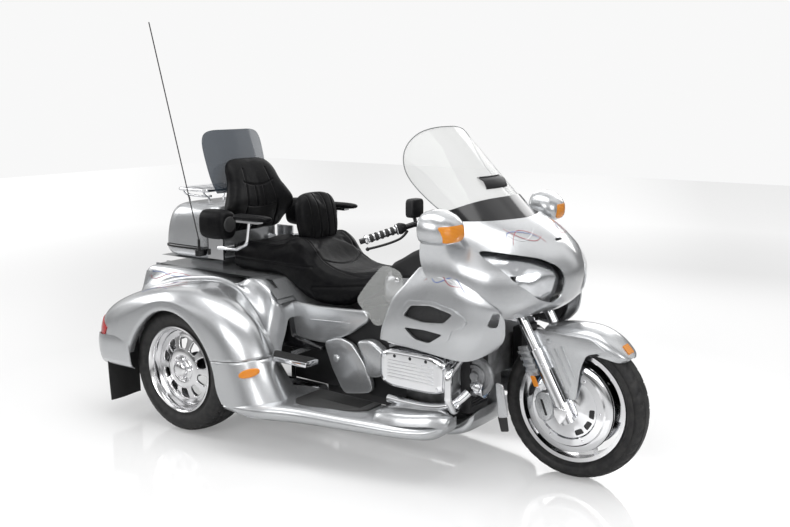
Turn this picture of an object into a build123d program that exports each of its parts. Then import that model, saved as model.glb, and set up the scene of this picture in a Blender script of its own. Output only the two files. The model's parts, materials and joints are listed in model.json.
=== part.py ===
from build123d import *
from math import cos, radians, sin, tan
import os

os.makedirs("parts", exist_ok=True)

# Motorized trike, millimetres. +X forward, +Y left, +Z up. The origin is on the ground, midway between
# the rearmost and the foremost point. Stations along the machine are counted from the rear axle.

# Chassis layout
wheelbase = 1783.0
tail_overhang = 561.0
rake = 29.25
trail = 109.0
running_clearance = 0.05
seat_gap = 0.3
wall = 6.0

# Front wheel
front_tyre_radius = 320.0
front_tyre_width = 130.0
front_seat_radius = 232.0
front_rim_radius = 243.0
front_rim_width = 96.0
front_hub_radius = 46.0
front_hub_width = 100.0
front_axle_radius = 10.0
front_spokes = 5
front_spoke_width = 70.0

# Rear wheels
rear_tyre_radius = 310.0
rear_tyre_width = 205.0
rear_seat_radius = 197.0
rear_rim_radius = 211.0
rear_rim_width = 190.0
rear_wheel_y = 530.0
rear_hub_radius = 62.0
rear_shaft_radius = 20.0
rear_slots = 10
disc_depth = 62.0
disc_thickness = 14.0

# Body reach
body_half_width = 700.0
tub_half_width = 392.0
deck_z = 735.0
split_z = 430.0
floor_z = 400.0

rear_axle_x = -(wheelbase + front_tyre_radius - tail_overhang) / 2


def fwd(x):
    """Station x, counted forward from the rear axle."""
    return rear_axle_x + x


def fore(x):
    """Station x, counted forward from the front axle, for what goes with the steering head."""
    return rear_axle_x + wheelbase + x


rake_sin = sin(radians(rake))
rake_cos = cos(radians(rake))
steer_foot_x = fore(trail)


def on_stem(s, ahead=0.0, y=0.0):
    """Point s up the steering axis from the ground and ahead of it, square to the axis."""
    return (steer_foot_x - rake_sin * s + rake_cos * ahead, y, rake_cos * s + rake_sin * ahead)


stem_dir = (-rake_sin, 0, rake_cos)
wheel_s = front_tyre_radius * rake_cos + trail * rake_sin
leg_ahead = front_tyre_radius * rake_sin - trail * rake_cos


def save(piece, label):
    piece.part.label = label
    export_step(piece.part, f"parts/{label}.step")


# Wheels. Each profile lies in the XY plane, x out along the radius and y along the axle, and turns about Y.
def tyre_profile(outer, seat, lip, width, bead, crown):
    """Half section of a tyre: bead inside the rim's lips, bulged side wall and crowned tread."""
    shoulder = width * 0.40
    bulge = width / 2
    mid = (outer + lip) / 2
    with BuildSketch() as section:
        with BuildLine():
            Polyline((lip + seat_gap, -bead / 2), (seat, -bead / 2), (seat, bead / 2), (lip + seat_gap, bead / 2))
            b = ThreePointArc((lip + seat_gap, bead / 2), (mid, bulge), (outer - crown, shoulder))
            c = ThreePointArc(b @ 1, (outer, 0), (outer - crown, -shoulder))
            ThreePointArc(c @ 1, (mid, -bulge), (lip + seat_gap, -bead / 2))
        make_face()
    return section.sketch


def rim_profile(seat, lip, width, skin):
    """Section of a rim barrel with its two lips."""
    half = width / 2
    with BuildSketch() as section:
        with BuildLine():
            Polyline(
                (seat - skin, -half), (lip, -half), (lip, -half + skin), (seat, -half + skin),
                (seat, half - skin), (lip, half - skin), (lip, half), (seat - skin, half), close=True,
            )
        make_face()
    return section.sketch


rear_skin = 7.0
rear_bead = rear_rim_width - 2 * rear_skin - 2 * seat_gap
for side, word in ((1, "left"), (-1, "right")):
    wheel_at = (fwd(0), side * rear_wheel_y, rear_tyre_radius)
    with BuildPart() as tyre_block:
        add(tyre_profile(
            rear_tyre_radius, rear_seat_radius + seat_gap, rear_rim_radius, rear_tyre_width, rear_bead, 10,
        ))
        revolve(axis=Axis.Y)
    with BuildPart() as rear_tyre:
        with Locations(wheel_at):
            add(tyre_block.part)
    save(rear_tyre, f"rear_tyre_{word}")

    disc_y = rear_rim_width / 2 - disc_depth
    with BuildPart() as rim_block:
        add(rim_profile(rear_seat_radius, rear_rim_radius, rear_rim_width, rear_skin))
        revolve(axis=Axis.Y)
        # Disc set back from the lip, stepped, with a domed hub
        with BuildSketch(Plane.XY):
            with BuildLine():
                Polyline(
                    (0, disc_y - 46), (rear_hub_radius, disc_y - 46), (rear_hub_radius, disc_y - disc_thickness),
                    (rear_seat_radius - rear_skin / 2, disc_y - disc_thickness),
                    (rear_seat_radius - rear_skin / 2, disc_y),
                    (rear_seat_radius - 36, disc_y + 10), (rear_hub_radius, disc_y + 22), (44, disc_y + 24),
                    (38, disc_y + 44), (20, disc_y + 54), (0, disc_y + 56), close=True,
                )
            make_face()
        revolve(axis=Axis.Y)
        slot_ring = rear_seat_radius - 52
        with BuildSketch(Plane.XZ.offset(-disc_y - 60)):
            with PolarLocations(slot_ring, rear_slots):
                Trapezoid(30, 34, 82, rotation=-90)
        extrude(amount=120, mode=Mode.SUBTRACT)
        with Locations(Plane.XZ.offset(-disc_y + 47)):
            Cylinder(
                rear_shaft_radius + running_clearance, 66,
                align=(Align.CENTER, Align.CENTER, Align.MAX), mode=Mode.SUBTRACT,
            )
    with BuildPart() as rear_rim:
        with Locations(Location(wheel_at, (0, 0, 0 if side == 1 else 180))):
            add(rim_block.part)
    save(rear_rim, f"rear_rim_{word}")

front_skin = 6.0
front_bead = front_rim_width - 2 * front_skin - 2 * seat_gap
front_centre = (fore(0), 0, front_tyre_radius)
with BuildPart() as front_tyre_block:
    add(tyre_profile(
        front_tyre_radius, front_seat_radius + seat_gap, front_rim_radius, front_tyre_width, front_bead, 22,
    ))
    revolve(axis=Axis.Y)
with BuildPart() as front_tyre:
    with Locations(front_centre):
        add(front_tyre_block.part)
save(front_tyre, "front_tyre")

with BuildPart() as front_rim_block:
    add(rim_profile(front_seat_radius, front_rim_radius, front_rim_width, front_skin))
    revolve(axis=Axis.Y)
    with BuildSketch(Plane.XZ.offset(-22)):
        with PolarLocations((front_hub_radius + front_seat_radius) / 2 - 8, front_spokes):
            Rectangle(front_seat_radius - front_hub_radius + 8, front_spoke_width)
    extrude(amount=44)
    with Locations(Rot(90, 0, 0)):
        Cylinder(front_hub_radius, front_hub_width)
        Cylinder(front_axle_radius + running_clearance, front_hub_width + 2, mode=Mode.SUBTRACT)
with BuildPart() as front_rim:
    with Locations(front_centre):
        add(front_rim_block.part)
save(front_rim, "front_rim")


# Front fairing: hollow nose, lofted through level sections that are an arc in front of a straight box
# z, nose tip x, half width, side end x, rear x
nose_top = 1070
nose_sections = [
    (724, -87, 372, -223, -383),
    (800, -31, 400, -283, -453),
    (890, -15, 412, -353, -513),
    (985, -71, 388, -418, -543),
    (nose_top, -193, 345, -463, -553),
]


def nose_section(z, tip, half, side_x, rear_x, inset, back):
    """Level section of the nose, drawn in by inset and run out behind by back."""
    with BuildSketch(Plane.XY.offset(z)) as section:
        with BuildLine():
            a = ThreePointArc(
                (fore(side_x), -half + inset), (fore(tip) - inset, 0), (fore(side_x), half - inset),
            )
            Polyline(a @ 1, (fore(rear_x) - back, half - inset), (fore(rear_x) - back, -half + inset), a @ 0)
        make_face()
    return section.sketch


with BuildPart() as nose_void:
    for z, tip, half, side_x, rear_x in nose_sections:
        level = min(z, nose_top - wall)
        add(nose_section(level, tip, half, side_x, rear_x, wall, 30))
    loft()

with BuildPart() as nose_solid:
    for z, tip, half, side_x, rear_x in nose_sections:
        add(nose_section(z, tip, half, side_x, rear_x, 0, 0))
    loft()

with BuildPart() as nose_skin:
    add(nose_solid.part)
    add(nose_void.part, mode=Mode.SUBTRACT)


# Frame: spine from the steering head back over the engine, cradle under it, rails under the tub
head_low = 830.0
head_high = 1030.0
stem_radius = 25.0
rail_y = 150.0
rail_width = 40.0
cradle_z = 205.0
with BuildPart() as frame:
    with Locations(Plane(origin=on_stem(head_low), z_dir=stem_dir)):
        Cylinder(42, head_high - head_low, align=(Align.CENTER, Align.CENTER, Align.MIN))
    with BuildSketch(Plane.XZ.offset(-45)):
        with BuildLine():
            Polyline(
                (on_stem(900)[0], 745), (on_stem(900)[0], 845), (fwd(1180), 720), (fwd(660), 585), (fwd(560), 540),
                (fwd(560), cradle_z - 20), (fwd(620), cradle_z - 20), (fwd(620), 490), (fwd(700), 540),
                (fwd(1190), 650), close=True,
            )
        make_face()
    extrude(amount=90)
    # Rails under the tub and the plates that hang the axle
    for side in (1, -1):
        with Locations((fwd(100), side * rail_y, floor_z - 35)):
            Box(1000, rail_width, 70)
        with Locations((fwd(590), side * rail_y, 365)):
            Box(60, rail_width, 380)
        with Locations((fwd(965), side * rail_y, cradle_z)):
            Box(750, 36, 36)
        with Locations((fwd(0), side * rail_y, rear_tyre_radius + 25)):
            Box(110, rail_width, 110)
    # Stay that carries the fairing: a plate ahead of the head and a cross bar inside the nose
    with BuildSketch(Plane.XZ.offset(-12)):
        with BuildLine():
            Polyline(
                (on_stem(870)[0], on_stem(870)[2]), (on_stem(990)[0], on_stem(990)[2]), (fore(-143), 905),
                (fore(-143), 865), close=True,
            )
        make_face()
    extrude(amount=24)
    with Locations((fore(-158), 0, 885)):
        Box(24, 600, 24)
    add(nose_skin.part, mode=Mode.SUBTRACT)
    for x, z, h in ((-390, floor_z - 35, 70), (590, 520, 50), (590, cradle_z, 36), (1330, cradle_z, 26)):
        with Locations((fwd(x), 0, z)):
            Box(40, 2 * rail_y + rail_width - 4, h)
    with Locations(Plane(origin=on_stem(head_low - 5), z_dir=stem_dir)):
        Cylinder(
            stem_radius + running_clearance, head_high - head_low + 10,
            align=(Align.CENTER, Align.CENTER, Align.MIN), mode=Mode.SUBTRACT,
        )
    with Locations(Plane(origin=(fwd(0), 0, rear_tyre_radius), z_dir=(0, 1, 0))):
        Cylinder(36, 600, mode=Mode.SUBTRACT)
save(frame, "frame")

# Live axle: tubes, differential and the two stub shafts that the rear wheels turn on
stub_end = rear_wheel_y + rear_rim_width / 2 - disc_depth - 5
with BuildPart() as rear_axle:
    with Locations(Plane(origin=(fwd(0), 0, rear_tyre_radius), z_dir=(0, 1, 0))):
        Cylinder(36, 2 * (rear_wheel_y - rear_rim_width / 2 - 5))
        Cylinder(82, 150)
        Cylinder(rear_shaft_radius, 2 * stub_end)
        for side in (1, -1):
            with Locations((0, 0, side * (rear_wheel_y - 34))):
                Cylinder(60, 20)
save(rear_axle, "rear_axle")


# Engine: the crankcase block and the two flat cylinder banks as one plain mass
bank_out = 345.0
with BuildPart() as engine:
    with Locations((fwd(1105), 0, 385)):
        Box(490, 2 * (rail_y - 25), 330)
    with Locations((fwd(1215), 0, 455)):
        Box(330, 2 * bank_out, 170)
    add(frame.part, mode=Mode.SUBTRACT)
save(engine, "engine")

# Chrome covers of the engine: one on each cylinder bank
cover_length = 345.0
cover_height = 175.0
cover_depth = 68.0
with BuildPart() as valve_covers:
    with BuildSketch(Plane(origin=(fwd(1210), -bank_out, 457), x_dir=(1, 0, 0), z_dir=(0, -1, 0))):
        RectangleRounded(cover_length, cover_height, 30)
    extrude(amount=cover_depth, taper=8)
    mirror(about=Plane.XZ)
save(valve_covers, "valve_covers")

# Radiator shrouds and the belly cowl with its grille mouths
with BuildPart() as radiators:
    for side in (1, -1):
        with Locations((fwd(1415), side * 225, (285 + 570) / 2)):
            Box(50, 150, 285)
save(radiators, "radiators")

# Chrome engine guards, a bent bar round each cylinder bank
guard_radius = 15.0
guard_path = [
    (1370, -250, 500), (1420, -330, 535), (1415, -435, 480), (1415, -435, 380), (1415, -390, 315), (1400, -310, 325),
    (1370, -250, 400),
]
with BuildPart() as engine_guards:
    with BuildLine():
        FilletPolyline(*[(fwd(x), y, z) for x, y, z in guard_path], radius=30)
    with BuildSketch(Plane(origin=(fwd(1370), -250, 500), z_dir=(50, -80, 35))):
        Circle(guard_radius)
    sweep()
    mirror(about=Plane.XZ)
    for piece in (engine, radiators):
        add(piece.part, mode=Mode.SUBTRACT)
save(engine_guards, "engine_guards")

with BuildPart() as belly_cowl:
    with BuildSketch(Plane.XZ.offset(-290)):
        with BuildLine():
            Polyline(
                (fwd(1120), 150), (fwd(1380), 165), (fwd(1440), 230), (fwd(1440), 285), (fwd(1385), 285),
                (fwd(1350), 187), (fwd(1120), 187), close=True,
            )
        make_face()
    extrude(amount=580)
save(belly_cowl, "belly_cowl")

# Round driving lamps beside the radiators
lamp_radius = 42.0
with BuildPart() as driving_lamps:
    for side in (1, -1):
        with Locations(Plane(origin=(fwd(1440), side * 265, 400), z_dir=(1, 0, 0))):
            Cylinder(lamp_radius, 60, align=(Align.CENTER, Align.CENTER, Align.MIN))
save(driving_lamps, "driving_lamps")

# Silencers under the floor
with BuildPart() as exhausts:
    for side in (1, -1):
        with Locations(Plane(origin=(fwd(-480), side * 260, 215), z_dir=(1, 0, 0))):
            Cylinder(42, 1080, align=(Align.CENTER, Align.CENTER, Align.MIN))
            Cylinder(34, 60, align=(Align.CENTER, Align.CENTER, Align.MIN), mode=Mode.SUBTRACT)
        for x in (-200, 420):
            with Locations((fwd(x), side * 260, 250)):
                Box(24, 8, floor_z - 250, align=(Align.CENTER, Align.CENTER, Align.MIN))
save(exhausts, "exhausts")

# Rear body: tub with a deck, and a hollow wing over each wheel
mouth_radius = 300.0
well_in = rear_wheel_y - rear_tyre_width / 2 - 22
wing_round = 95.0
tub_front = 330.0
tub_rear = -540.0


def wing_outline(inset, bottom):
    """Side view of the wing, drawn in from the outside by inset and down to bottom."""
    with BuildSketch() as outline:
        with BuildLine():
            foot = Line((fwd(-545) + inset, bottom), (fwd(-545) + inset, split_z + 20))
            w1 = TangentArc(foot @ 1, (fwd(-400) + 0.26 * inset, 620 - 0.96 * inset), tangent=(0, 1))
            w2 = TangentArc(w1 @ 1, (fwd(100), 728 - inset), tangent=w1 % 1)
            w3 = TangentArc(w2 @ 1, (fwd(545) - inset, split_z + 20), tangent=w2 % 1)
            Polyline(w3 @ 1, (fwd(545) - inset, bottom), foot @ 0)
        make_face()
    return outline.sketch


with BuildPart() as wing_void:
    with BuildSketch(Plane.XZ.offset(well_in)):
        add(wing_outline(wall, split_z - 20))
    extrude(amount=body_half_width - wall - well_in)
    round_edges = wing_void.edges().filter_by(
        lambda e: abs(e.center().Y + body_half_width - wall) < 1 and e.geom_type == GeomType.CIRCLE
    )
    fillet(round_edges, wing_round - wall)
    mirror(about=Plane.XZ)

door_gap = 5.0
door_thick = 22.0
sill_z = split_z
tub_in = tub_half_width - wall
hinge_x = -488.0
hinge_z = 721.0
hinge_pin = 2.5
knuckle_radius = 6.0
knuckle_length = 60.0
knuckle_gap = 0.3
knuckle_ys = (-260.0, 260.0)
with BuildPart() as rear_body:
    with BuildSketch(Plane.XZ.offset(body_half_width)):
        add(wing_outline(0, split_z))
    extrude(amount=-(body_half_width - tub_in))
    round_edges = rear_body.edges().filter_by(
        lambda e: abs(e.center().Y + body_half_width) < 1 and e.geom_type == GeomType.CIRCLE
    )
    fillet(round_edges, wing_round)
    mirror(about=Plane.XZ)
    with BuildSketch(Plane.XZ.offset(tub_half_width)):
        with BuildLine():
            Polyline(
                (fwd(tub_rear), floor_z), (fwd(tub_rear), 560), (fwd(-478), deck_z), (fwd(tub_front), deck_z),
                (fwd(470), 600), (fwd(500), floor_z), close=True,
            )
        make_face()
    extrude(amount=-2 * tub_half_width)
    add(wing_void.part, mode=Mode.SUBTRACT)
    # Luggage space, the door's opening behind it and the hollow nose under the seat in front of it
    inside = [
        (tub_rear + wall, floor_z + wall, tub_front - 30, deck_z - 8),
        (tub_rear - 30, sill_z, tub_rear + wall, deck_z - 8),
    ]
    for x1, z1, x2, z2 in inside:
        with Locations((fwd(x1), -tub_in, z1)):
            Box(x2 - x1, 2 * tub_in, z2 - z1, align=(Align.MIN, Align.MIN, Align.MIN), mode=Mode.SUBTRACT)
    with BuildSketch(Plane.XZ.offset(tub_in)):
        with BuildLine():
            Polyline(
                (fwd(tub_front - 24), floor_z - 10), (fwd(tub_front - 24), deck_z - wall), (fwd(tub_front), deck_z - wall),
                (fwd(464), 596), (fwd(494), floor_z - 10), close=True,
            )
        make_face()
    extrude(amount=-2 * tub_in, mode=Mode.SUBTRACT)
    with Locations(Plane(origin=(fwd(0), 0, rear_tyre_radius), z_dir=(0, 1, 0))):
        with Locations((0, 0, body_half_width), (0, 0, -body_half_width)):
            Cylinder(mouth_radius, 80, mode=Mode.SUBTRACT)
    # Ears and pins of the door's hinges
    for y in knuckle_ys:
        for end in (1, -1):
            with Locations((fwd(hinge_x), y + end * (knuckle_length / 2 + 5 + knuckle_gap), hinge_z + 3)):
                Box(26, 10, 22)
        with Locations(Plane(origin=(fwd(hinge_x), y, hinge_z), z_dir=(0, 1, 0))):
            Cylinder(hinge_pin, knuckle_length + 10)
save(rear_body, "rear_body")

# Door across the rear of the tub, hinged along its top edge
door_top = deck_z - 8 - door_gap
with BuildPart() as trunk_door:
    with BuildSketch(Plane.XZ.offset(tub_in - door_gap)):
        with BuildLine():
            Polyline(
                (fwd(tub_rear), sill_z + door_gap), (fwd(tub_rear), 560), (fwd(-483), door_top - 14),
                (fwd(-478) + door_thick, door_top - 14), (fwd(tub_rear) + door_thick, 552),
                (fwd(tub_rear) + door_thick, sill_z + door_gap), close=True,
            )
        make_face()
    extrude(amount=-2 * (tub_in - door_gap))
    for y in knuckle_ys:
        with Locations(Plane(origin=(fwd(hinge_x), y, hinge_z), z_dir=(0, 1, 0))):
            Cylinder(knuckle_radius, knuckle_length)
        with Locations((fwd(hinge_x) + 7, y, hinge_z - 14)):
            Box(14, knuckle_length, 22)
        with Locations(Plane(origin=(fwd(hinge_x), y, hinge_z), z_dir=(0, 1, 0))):
            Cylinder(hinge_pin + running_clearance, knuckle_length + 2, mode=Mode.SUBTRACT)
save(trunk_door, "trunk_door")

# Bumper skirt below the split line, behind the wheels
bumper_wall = 10.0
corner_y = body_half_width - 100
with BuildPart() as rear_bumper:
    with BuildSketch(Plane.XY.offset(split_z)):
        with BuildLine():
            side_line = Line((fwd(-230), -body_half_width), (fwd(-500), -body_half_width))
            ThreePointArc(side_line @ 1, (fwd(-549), -body_half_width + 30), (fwd(-561), -corner_y))
            Line((fwd(-561), -corner_y), (fwd(-561), 0))
            Polyline(
                (fwd(-561), 0), (fwd(-541), 0), (fwd(-541), -corner_y), (fwd(-495), -body_half_width + bumper_wall),
                (fwd(-230), -body_half_width + bumper_wall), side_line @ 0,
            )
        make_face()
    extrude(amount=-155)
    mirror(about=Plane.XZ)
    with Locations(Plane(origin=(fwd(0), 0, rear_tyre_radius), z_dir=(0, 1, 0))):
        with Locations((0, 0, body_half_width), (0, 0, -body_half_width)):
            Cylinder(mouth_radius, 80, mode=Mode.SUBTRACT)
save(rear_bumper, "rear_bumper")

# Tail lamps on the rear corners of the wings
with BuildPart() as tail_lamps:
    for side in (1, -1):
        with Locations((fwd(-555), side * (body_half_width - 90), split_z + 15)):
            Box(20, 90, 90)
    add(rear_body.part, mode=Mode.SUBTRACT)
    add(rear_bumper.part, mode=Mode.SUBTRACT)
save(tail_lamps, "tail_lamps")

# Rubber flaps behind the rear wheels
with BuildPart() as mudflaps:
    for side in (1, -1):
        with Locations((fwd(-440), side * (rear_wheel_y + 60), split_z - 30)):
            Box(6, 200, split_z - 120, align=(Align.CENTER, Align.CENTER, Align.MAX))
save(mudflaps, "mudflaps")

# Running boards from the wings forward, with the skirt in front of each wheel
with BuildPart() as running_boards:
    with BuildSketch(Plane.XY.offset(190)):
        with BuildLine():
            Polyline(
                (fwd(350), -body_half_width), (fwd(520), -body_half_width), (fwd(720), -640), (fwd(1150), -560),
                (fwd(1320), -500), (fwd(1400), -420), (fwd(1400), -330), (fwd(350), -330), close=True,
            )
        make_face()
    extrude(amount=70)
    with BuildSketch(Plane.XZ.offset(body_half_width)):
        with BuildLine():
            Polyline(
                (fwd(330), 260), (fwd(300), split_z), (fwd(545), split_z), (fwd(640), 330), (fwd(740), 260), close=True,
            )
        make_face()
    extrude(amount=-110)
    mirror(about=Plane.XZ)
    with Locations(Plane(origin=(fwd(0), 0, rear_tyre_radius), z_dir=(0, 1, 0))):
        Cylinder(rear_tyre_radius + 12, 2 * body_half_width + 20, mode=Mode.SUBTRACT)
save(running_boards, "running_boards")

# Side covers under the seat
with BuildPart() as side_covers:
    with BuildSketch(Plane.XZ.offset(250)):
        with BuildLine():
            Polyline((fwd(505), 440), (fwd(505), 625), (fwd(860), 640), (fwd(900), 560), (fwd(720), 470), close=True)
        make_face()
    extrude(amount=-12)
    with Locations(Plane(origin=(fwd(595), -rail_y - rail_width / 2, 520), z_dir=(0, -1, 0))):
        Cylinder(8, 250 - rail_y - rail_width / 2, align=(Align.CENTER, Align.CENTER, Align.MIN))
    mirror(about=Plane.XZ)
save(side_covers, "side_covers")

# Chrome covers over the frame's cradle plates
with BuildPart() as frame_covers:
    with BuildSketch(Plane.XZ.offset(225)):
        with BuildLine():
            Polyline((fwd(600), 270), (fwd(600), 420), (fwd(760), 565), (fwd(850), 540), (fwd(850), 270), close=True)
        make_face()
    extrude(amount=-(225 - rail_y - rail_width / 2))
    mirror(about=Plane.XZ)
save(frame_covers, "frame_covers")

# Passenger footboards
with BuildPart() as footboards:
    for side in (1, -1):
        with Locations((fwd(555), side * (tub_half_width + 45), floor_z + 12)):
            Box(270, 90, 24)
save(footboards, "footboards")

# Headlamp openings, as seen from the front
lamp_corners = [(-118, 936), (-335, 988), (-322, 930), (-215, 830), (-96, 768)]
with BuildPart() as lamp_cutter:
    with BuildSketch(Plane.YZ.offset(fore(-403))):
        Polygon(*lamp_corners, align=None)
    extrude(amount=420)
    mirror(about=Plane.XZ)

# Fairing skin, open over the cockpit behind the windscreen's foot
cockpit_half = 318.0
with BuildPart() as fairing:
    add(nose_skin.part)
    add(lamp_cutter.part, mode=Mode.SUBTRACT)
    with Locations((fore(-573), 0, 1000)):
        Box(243, 2 * cockpit_half, 90, align=(Align.MIN, Align.CENTER, Align.MIN), mode=Mode.SUBTRACT)
save(fairing, "fairing")

with BuildPart() as headlamps:
    add(nose_skin.part)
    add(lamp_cutter.part, mode=Mode.INTERSECT)
save(headlamps, "headlamps")

# Side cowls below the nose, with two slots each
cowl_out = 425.0
cowl_in = 412.0 + seat_gap
with BuildPart() as side_cowls:
    with BuildSketch(Plane.XZ.offset(cowl_out)):
        with BuildLine():
            Polyline(
                (fore(-673), 750), (fore(-543), 905), (fore(-383), 985), (fore(-283), 860), (fore(-177), 730), (fore(-193), 645),
                (fore(-297), 545), (fore(-483), 580), (fore(-653), 640), close=True,
            )
        make_face()
    extrude(amount=-(cowl_out - cowl_in))
    for x, z in ((-633, 770), (-623, 700)):
        with Locations(Plane(origin=(fore(x), -400, z), z_dir=(0, -1, 0))):
            Cylinder(8, 18, align=(Align.CENTER, Align.CENTER, Align.MIN))
    add(nose_solid.part, mode=Mode.SUBTRACT)
    mirror(about=Plane.XZ)
save(side_cowls, "side_cowls")

# Windscreen: a bent sheet leaning back, rounded at the top
screen_radius = 364.0
screen_thick = 5.0
screen_lean = 46.0
screen_base_z = 1075.0
screen_dir = (-sin(radians(screen_lean)), 0, cos(radians(screen_lean)))
screen_centre = fore(-248) - screen_radius


def screen_sheet(outer, thick, low, high):
    """Part of a cylinder of the given outer radius sheared along the windscreen's lean."""
    with BuildPart() as sheet:
        with BuildSketch(Plane.XY.offset(low)):
            with Locations((screen_centre - (low - screen_base_z) * tan(radians(screen_lean)), 0)):
                Circle(outer)
                Circle(outer - thick, mode=Mode.SUBTRACT)
                with Locations((-outer + 130, 0)):
                    Rectangle(2 * outer, 2 * outer + 2, mode=Mode.SUBTRACT)
        extrude(amount=(high - low) / cos(radians(screen_lean)), dir=screen_dir)
    return sheet.part


with BuildPart() as windscreen:
    add(screen_sheet(screen_radius, screen_thick, screen_base_z, 1480))
    with BuildSketch(Plane.YZ.offset(fore(-883))):
        with BuildLine():
            Polyline((-300, 1100), (-322, 1165), (-300, 1325), (-215, 1430))
            ThreePointArc((-215, 1430), (0, 1474), (215, 1430))
            Polyline((215, 1430), (300, 1325), (322, 1165), (300, 1100), (0, 1075), (-300, 1100))
        make_face()
    extrude(amount=700, mode=Mode.INTERSECT)
save(windscreen, "windscreen")

# Black band at the foot of the windscreen
with BuildPart() as screen_band:
    add(screen_sheet(screen_radius + 10, 10 - seat_gap, 1070, 1135))
    add(nose_skin.part, mode=Mode.SUBTRACT)
    with Locations((fore(-600), 0, 1060)):
        Box(600 - 395, 800, 100, align=(Align.MIN, Align.CENTER, Align.MIN), mode=Mode.SUBTRACT)
save(screen_band, "screen_band")

# Dash and inner panel of the fairing
with BuildPart() as dash:
    with BuildSketch(Plane.XZ.offset(300)):
        with BuildLine():
            Polyline((fore(-363), 1026), (fore(-381), 1046), (fore(-363), 1064), (fore(-223), 1064), (fore(-193), 1026), close=True)
        make_face()
    extrude(amount=-600)
    add(nose_void.part, mode=Mode.INTERSECT)
save(dash, "dash")

# Mirrors on the fairing's shoulders
mirror_y = 462.0
with BuildPart() as mirrors:
    with Locations((fore(-383), -mirror_y, 1090)):
        Box(100, 200, 130)
        fillet(mirrors.edges(), 30)
    with Locations((fore(-378), -385, 1020)):
        Box(60, 100, 70)
    add(nose_solid.part, mode=Mode.SUBTRACT)
    mirror(about=Plane.XZ)
save(mirrors, "mirrors")

with BuildPart() as amber_lenses:
    for side in (1, -1):
        with Locations((fore(-328), side * mirror_y, 1080)):
            Box(10, 110, 60)
        with Locations((fore(-1265), side * (body_half_width + 4), 395)):
            Box(80, 8, 34)
save(amber_lenses, "amber_lenses")

# Clear wind deflectors ahead of the rider's knees
with BuildPart() as wind_wings:
    with BuildSketch(Plane.XZ.offset(400)):
        with BuildLine():
            Polyline((fwd(910), 730), (fwd(1060), 905), (fwd(1160), 880), (fwd(1175), 690), (fwd(1020), 620), close=True)
        make_face()
    extrude(amount=-4)
    mirror(about=Plane.XZ)
save(wind_wings, "wind_wings")

# Cover over the tank between the fairing and the seat
with BuildPart() as tank_cover:
    with BuildSketch(Plane.XZ.offset(170)):
        with BuildLine():
            Polyline(
                (fwd(865), 640), (fwd(865), 800), (fwd(1000), 850), (fwd(1180), 880), (fwd(1220), 800), (fwd(1190), 700),
                close=True,
            )
        make_face()
    extrude(amount=-340)
    add(frame.part, mode=Mode.SUBTRACT)
save(tank_cover, "tank_cover")

# Two-up seat
with BuildPart() as seat:
    with BuildSketch(Plane.XZ.offset(195)):
        with BuildLine():
            Polyline(
                (fwd(-70), deck_z), (fwd(tub_front), deck_z), (fwd(480), 640), (fwd(700), 632), (fwd(862), 740),
                (fwd(862), 800), (fwd(740), 790), (fwd(560), 800), (fwd(470), 880), (fwd(-70), 880), close=True,
            )
        make_face()
    extrude(amount=-390)
    add(frame.part, mode=Mode.SUBTRACT)
save(seat, "seat")

with BuildPart() as rider_backrest:
    with Locations((fwd(360), 0, 1006)):
        Box(100, 220, 252)
save(rider_backrest, "rider_backrest")

# Top box: tray with its foot, the lid over it, and what the lid carries
box_half = 255.0
box_rear = -510.0
box_front = -110.0
box_low = 771.0
box_seam_z = 835.0
box_top = 1055.0
box_gap = 5.0
box_length = box_front - box_rear
box_mid = (box_front + box_rear) / 2
lid_hinge_x = -98.0
lid_hinge_z = 838.0
lid_pin = 4.0
with BuildPart() as top_box:
    with Locations((fwd(box_mid), 0, box_low)):
        Box(box_length, 2 * box_half, box_seam_z - box_low, align=(Align.CENTER, Align.CENTER, Align.MIN))
    with Locations((fwd(box_mid), 0, box_low + wall)):
        Box(
            box_length - 2 * wall, 2 * (box_half - wall), box_seam_z - box_low,
            align=(Align.CENTER, Align.CENTER, Align.MIN), mode=Mode.SUBTRACT,
        )
    with Locations((fwd(box_mid), 0, deck_z)):
        Box(240, 240, box_low - deck_z, align=(Align.CENTER, Align.CENTER, Align.MIN))
    for y in (-160, 160):
        for end in (1, -1):
            with Locations((fwd(lid_hinge_x), y + end * 36, lid_hinge_z - 11)):
                Box(14, 10, 36)
            with Locations(((fwd(lid_hinge_x) + fwd(box_front)) / 2, y + end * 36, lid_hinge_z - 19)):
                Box(lid_hinge_x - box_front, 10, 20)
        with Locations(Plane(origin=(fwd(lid_hinge_x), y, lid_hinge_z), z_dir=(0, 1, 0))):
            Cylinder(lid_pin, 80)
save(top_box, "top_box")

with BuildPart() as top_lid:
    with Locations((fwd(box_mid), 0, box_seam_z + box_gap)):
        Box(box_length, 2 * box_half, box_top - box_seam_z - box_gap, align=(Align.CENTER, Align.CENTER, Align.MIN))
        fillet(top_lid.faces().sort_by(Axis.Z)[-1].edges(), 14)
    with Locations((fwd(box_mid), 0, box_seam_z)):
        Box(
            box_length - 2 * wall, 2 * (box_half - wall), box_top - box_seam_z - wall,
            align=(Align.CENTER, Align.CENTER, Align.MIN), mode=Mode.SUBTRACT,
        )
    for y in (-160, 160):
        with Locations(Plane(origin=(fwd(lid_hinge_x), y, lid_hinge_z), z_dir=(0, 1, 0))):
            Cylinder(9, 60)
        with Locations((fwd(lid_hinge_x) - 5, y, lid_hinge_z + 14)):
            Box(16, 60, 22)
        with Locations(Plane(origin=(fwd(lid_hinge_x), y, lid_hinge_z), z_dir=(0, 1, 0))):
            Cylinder(lid_pin + running_clearance, 62, mode=Mode.SUBTRACT)
save(top_lid, "top_lid")

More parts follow.
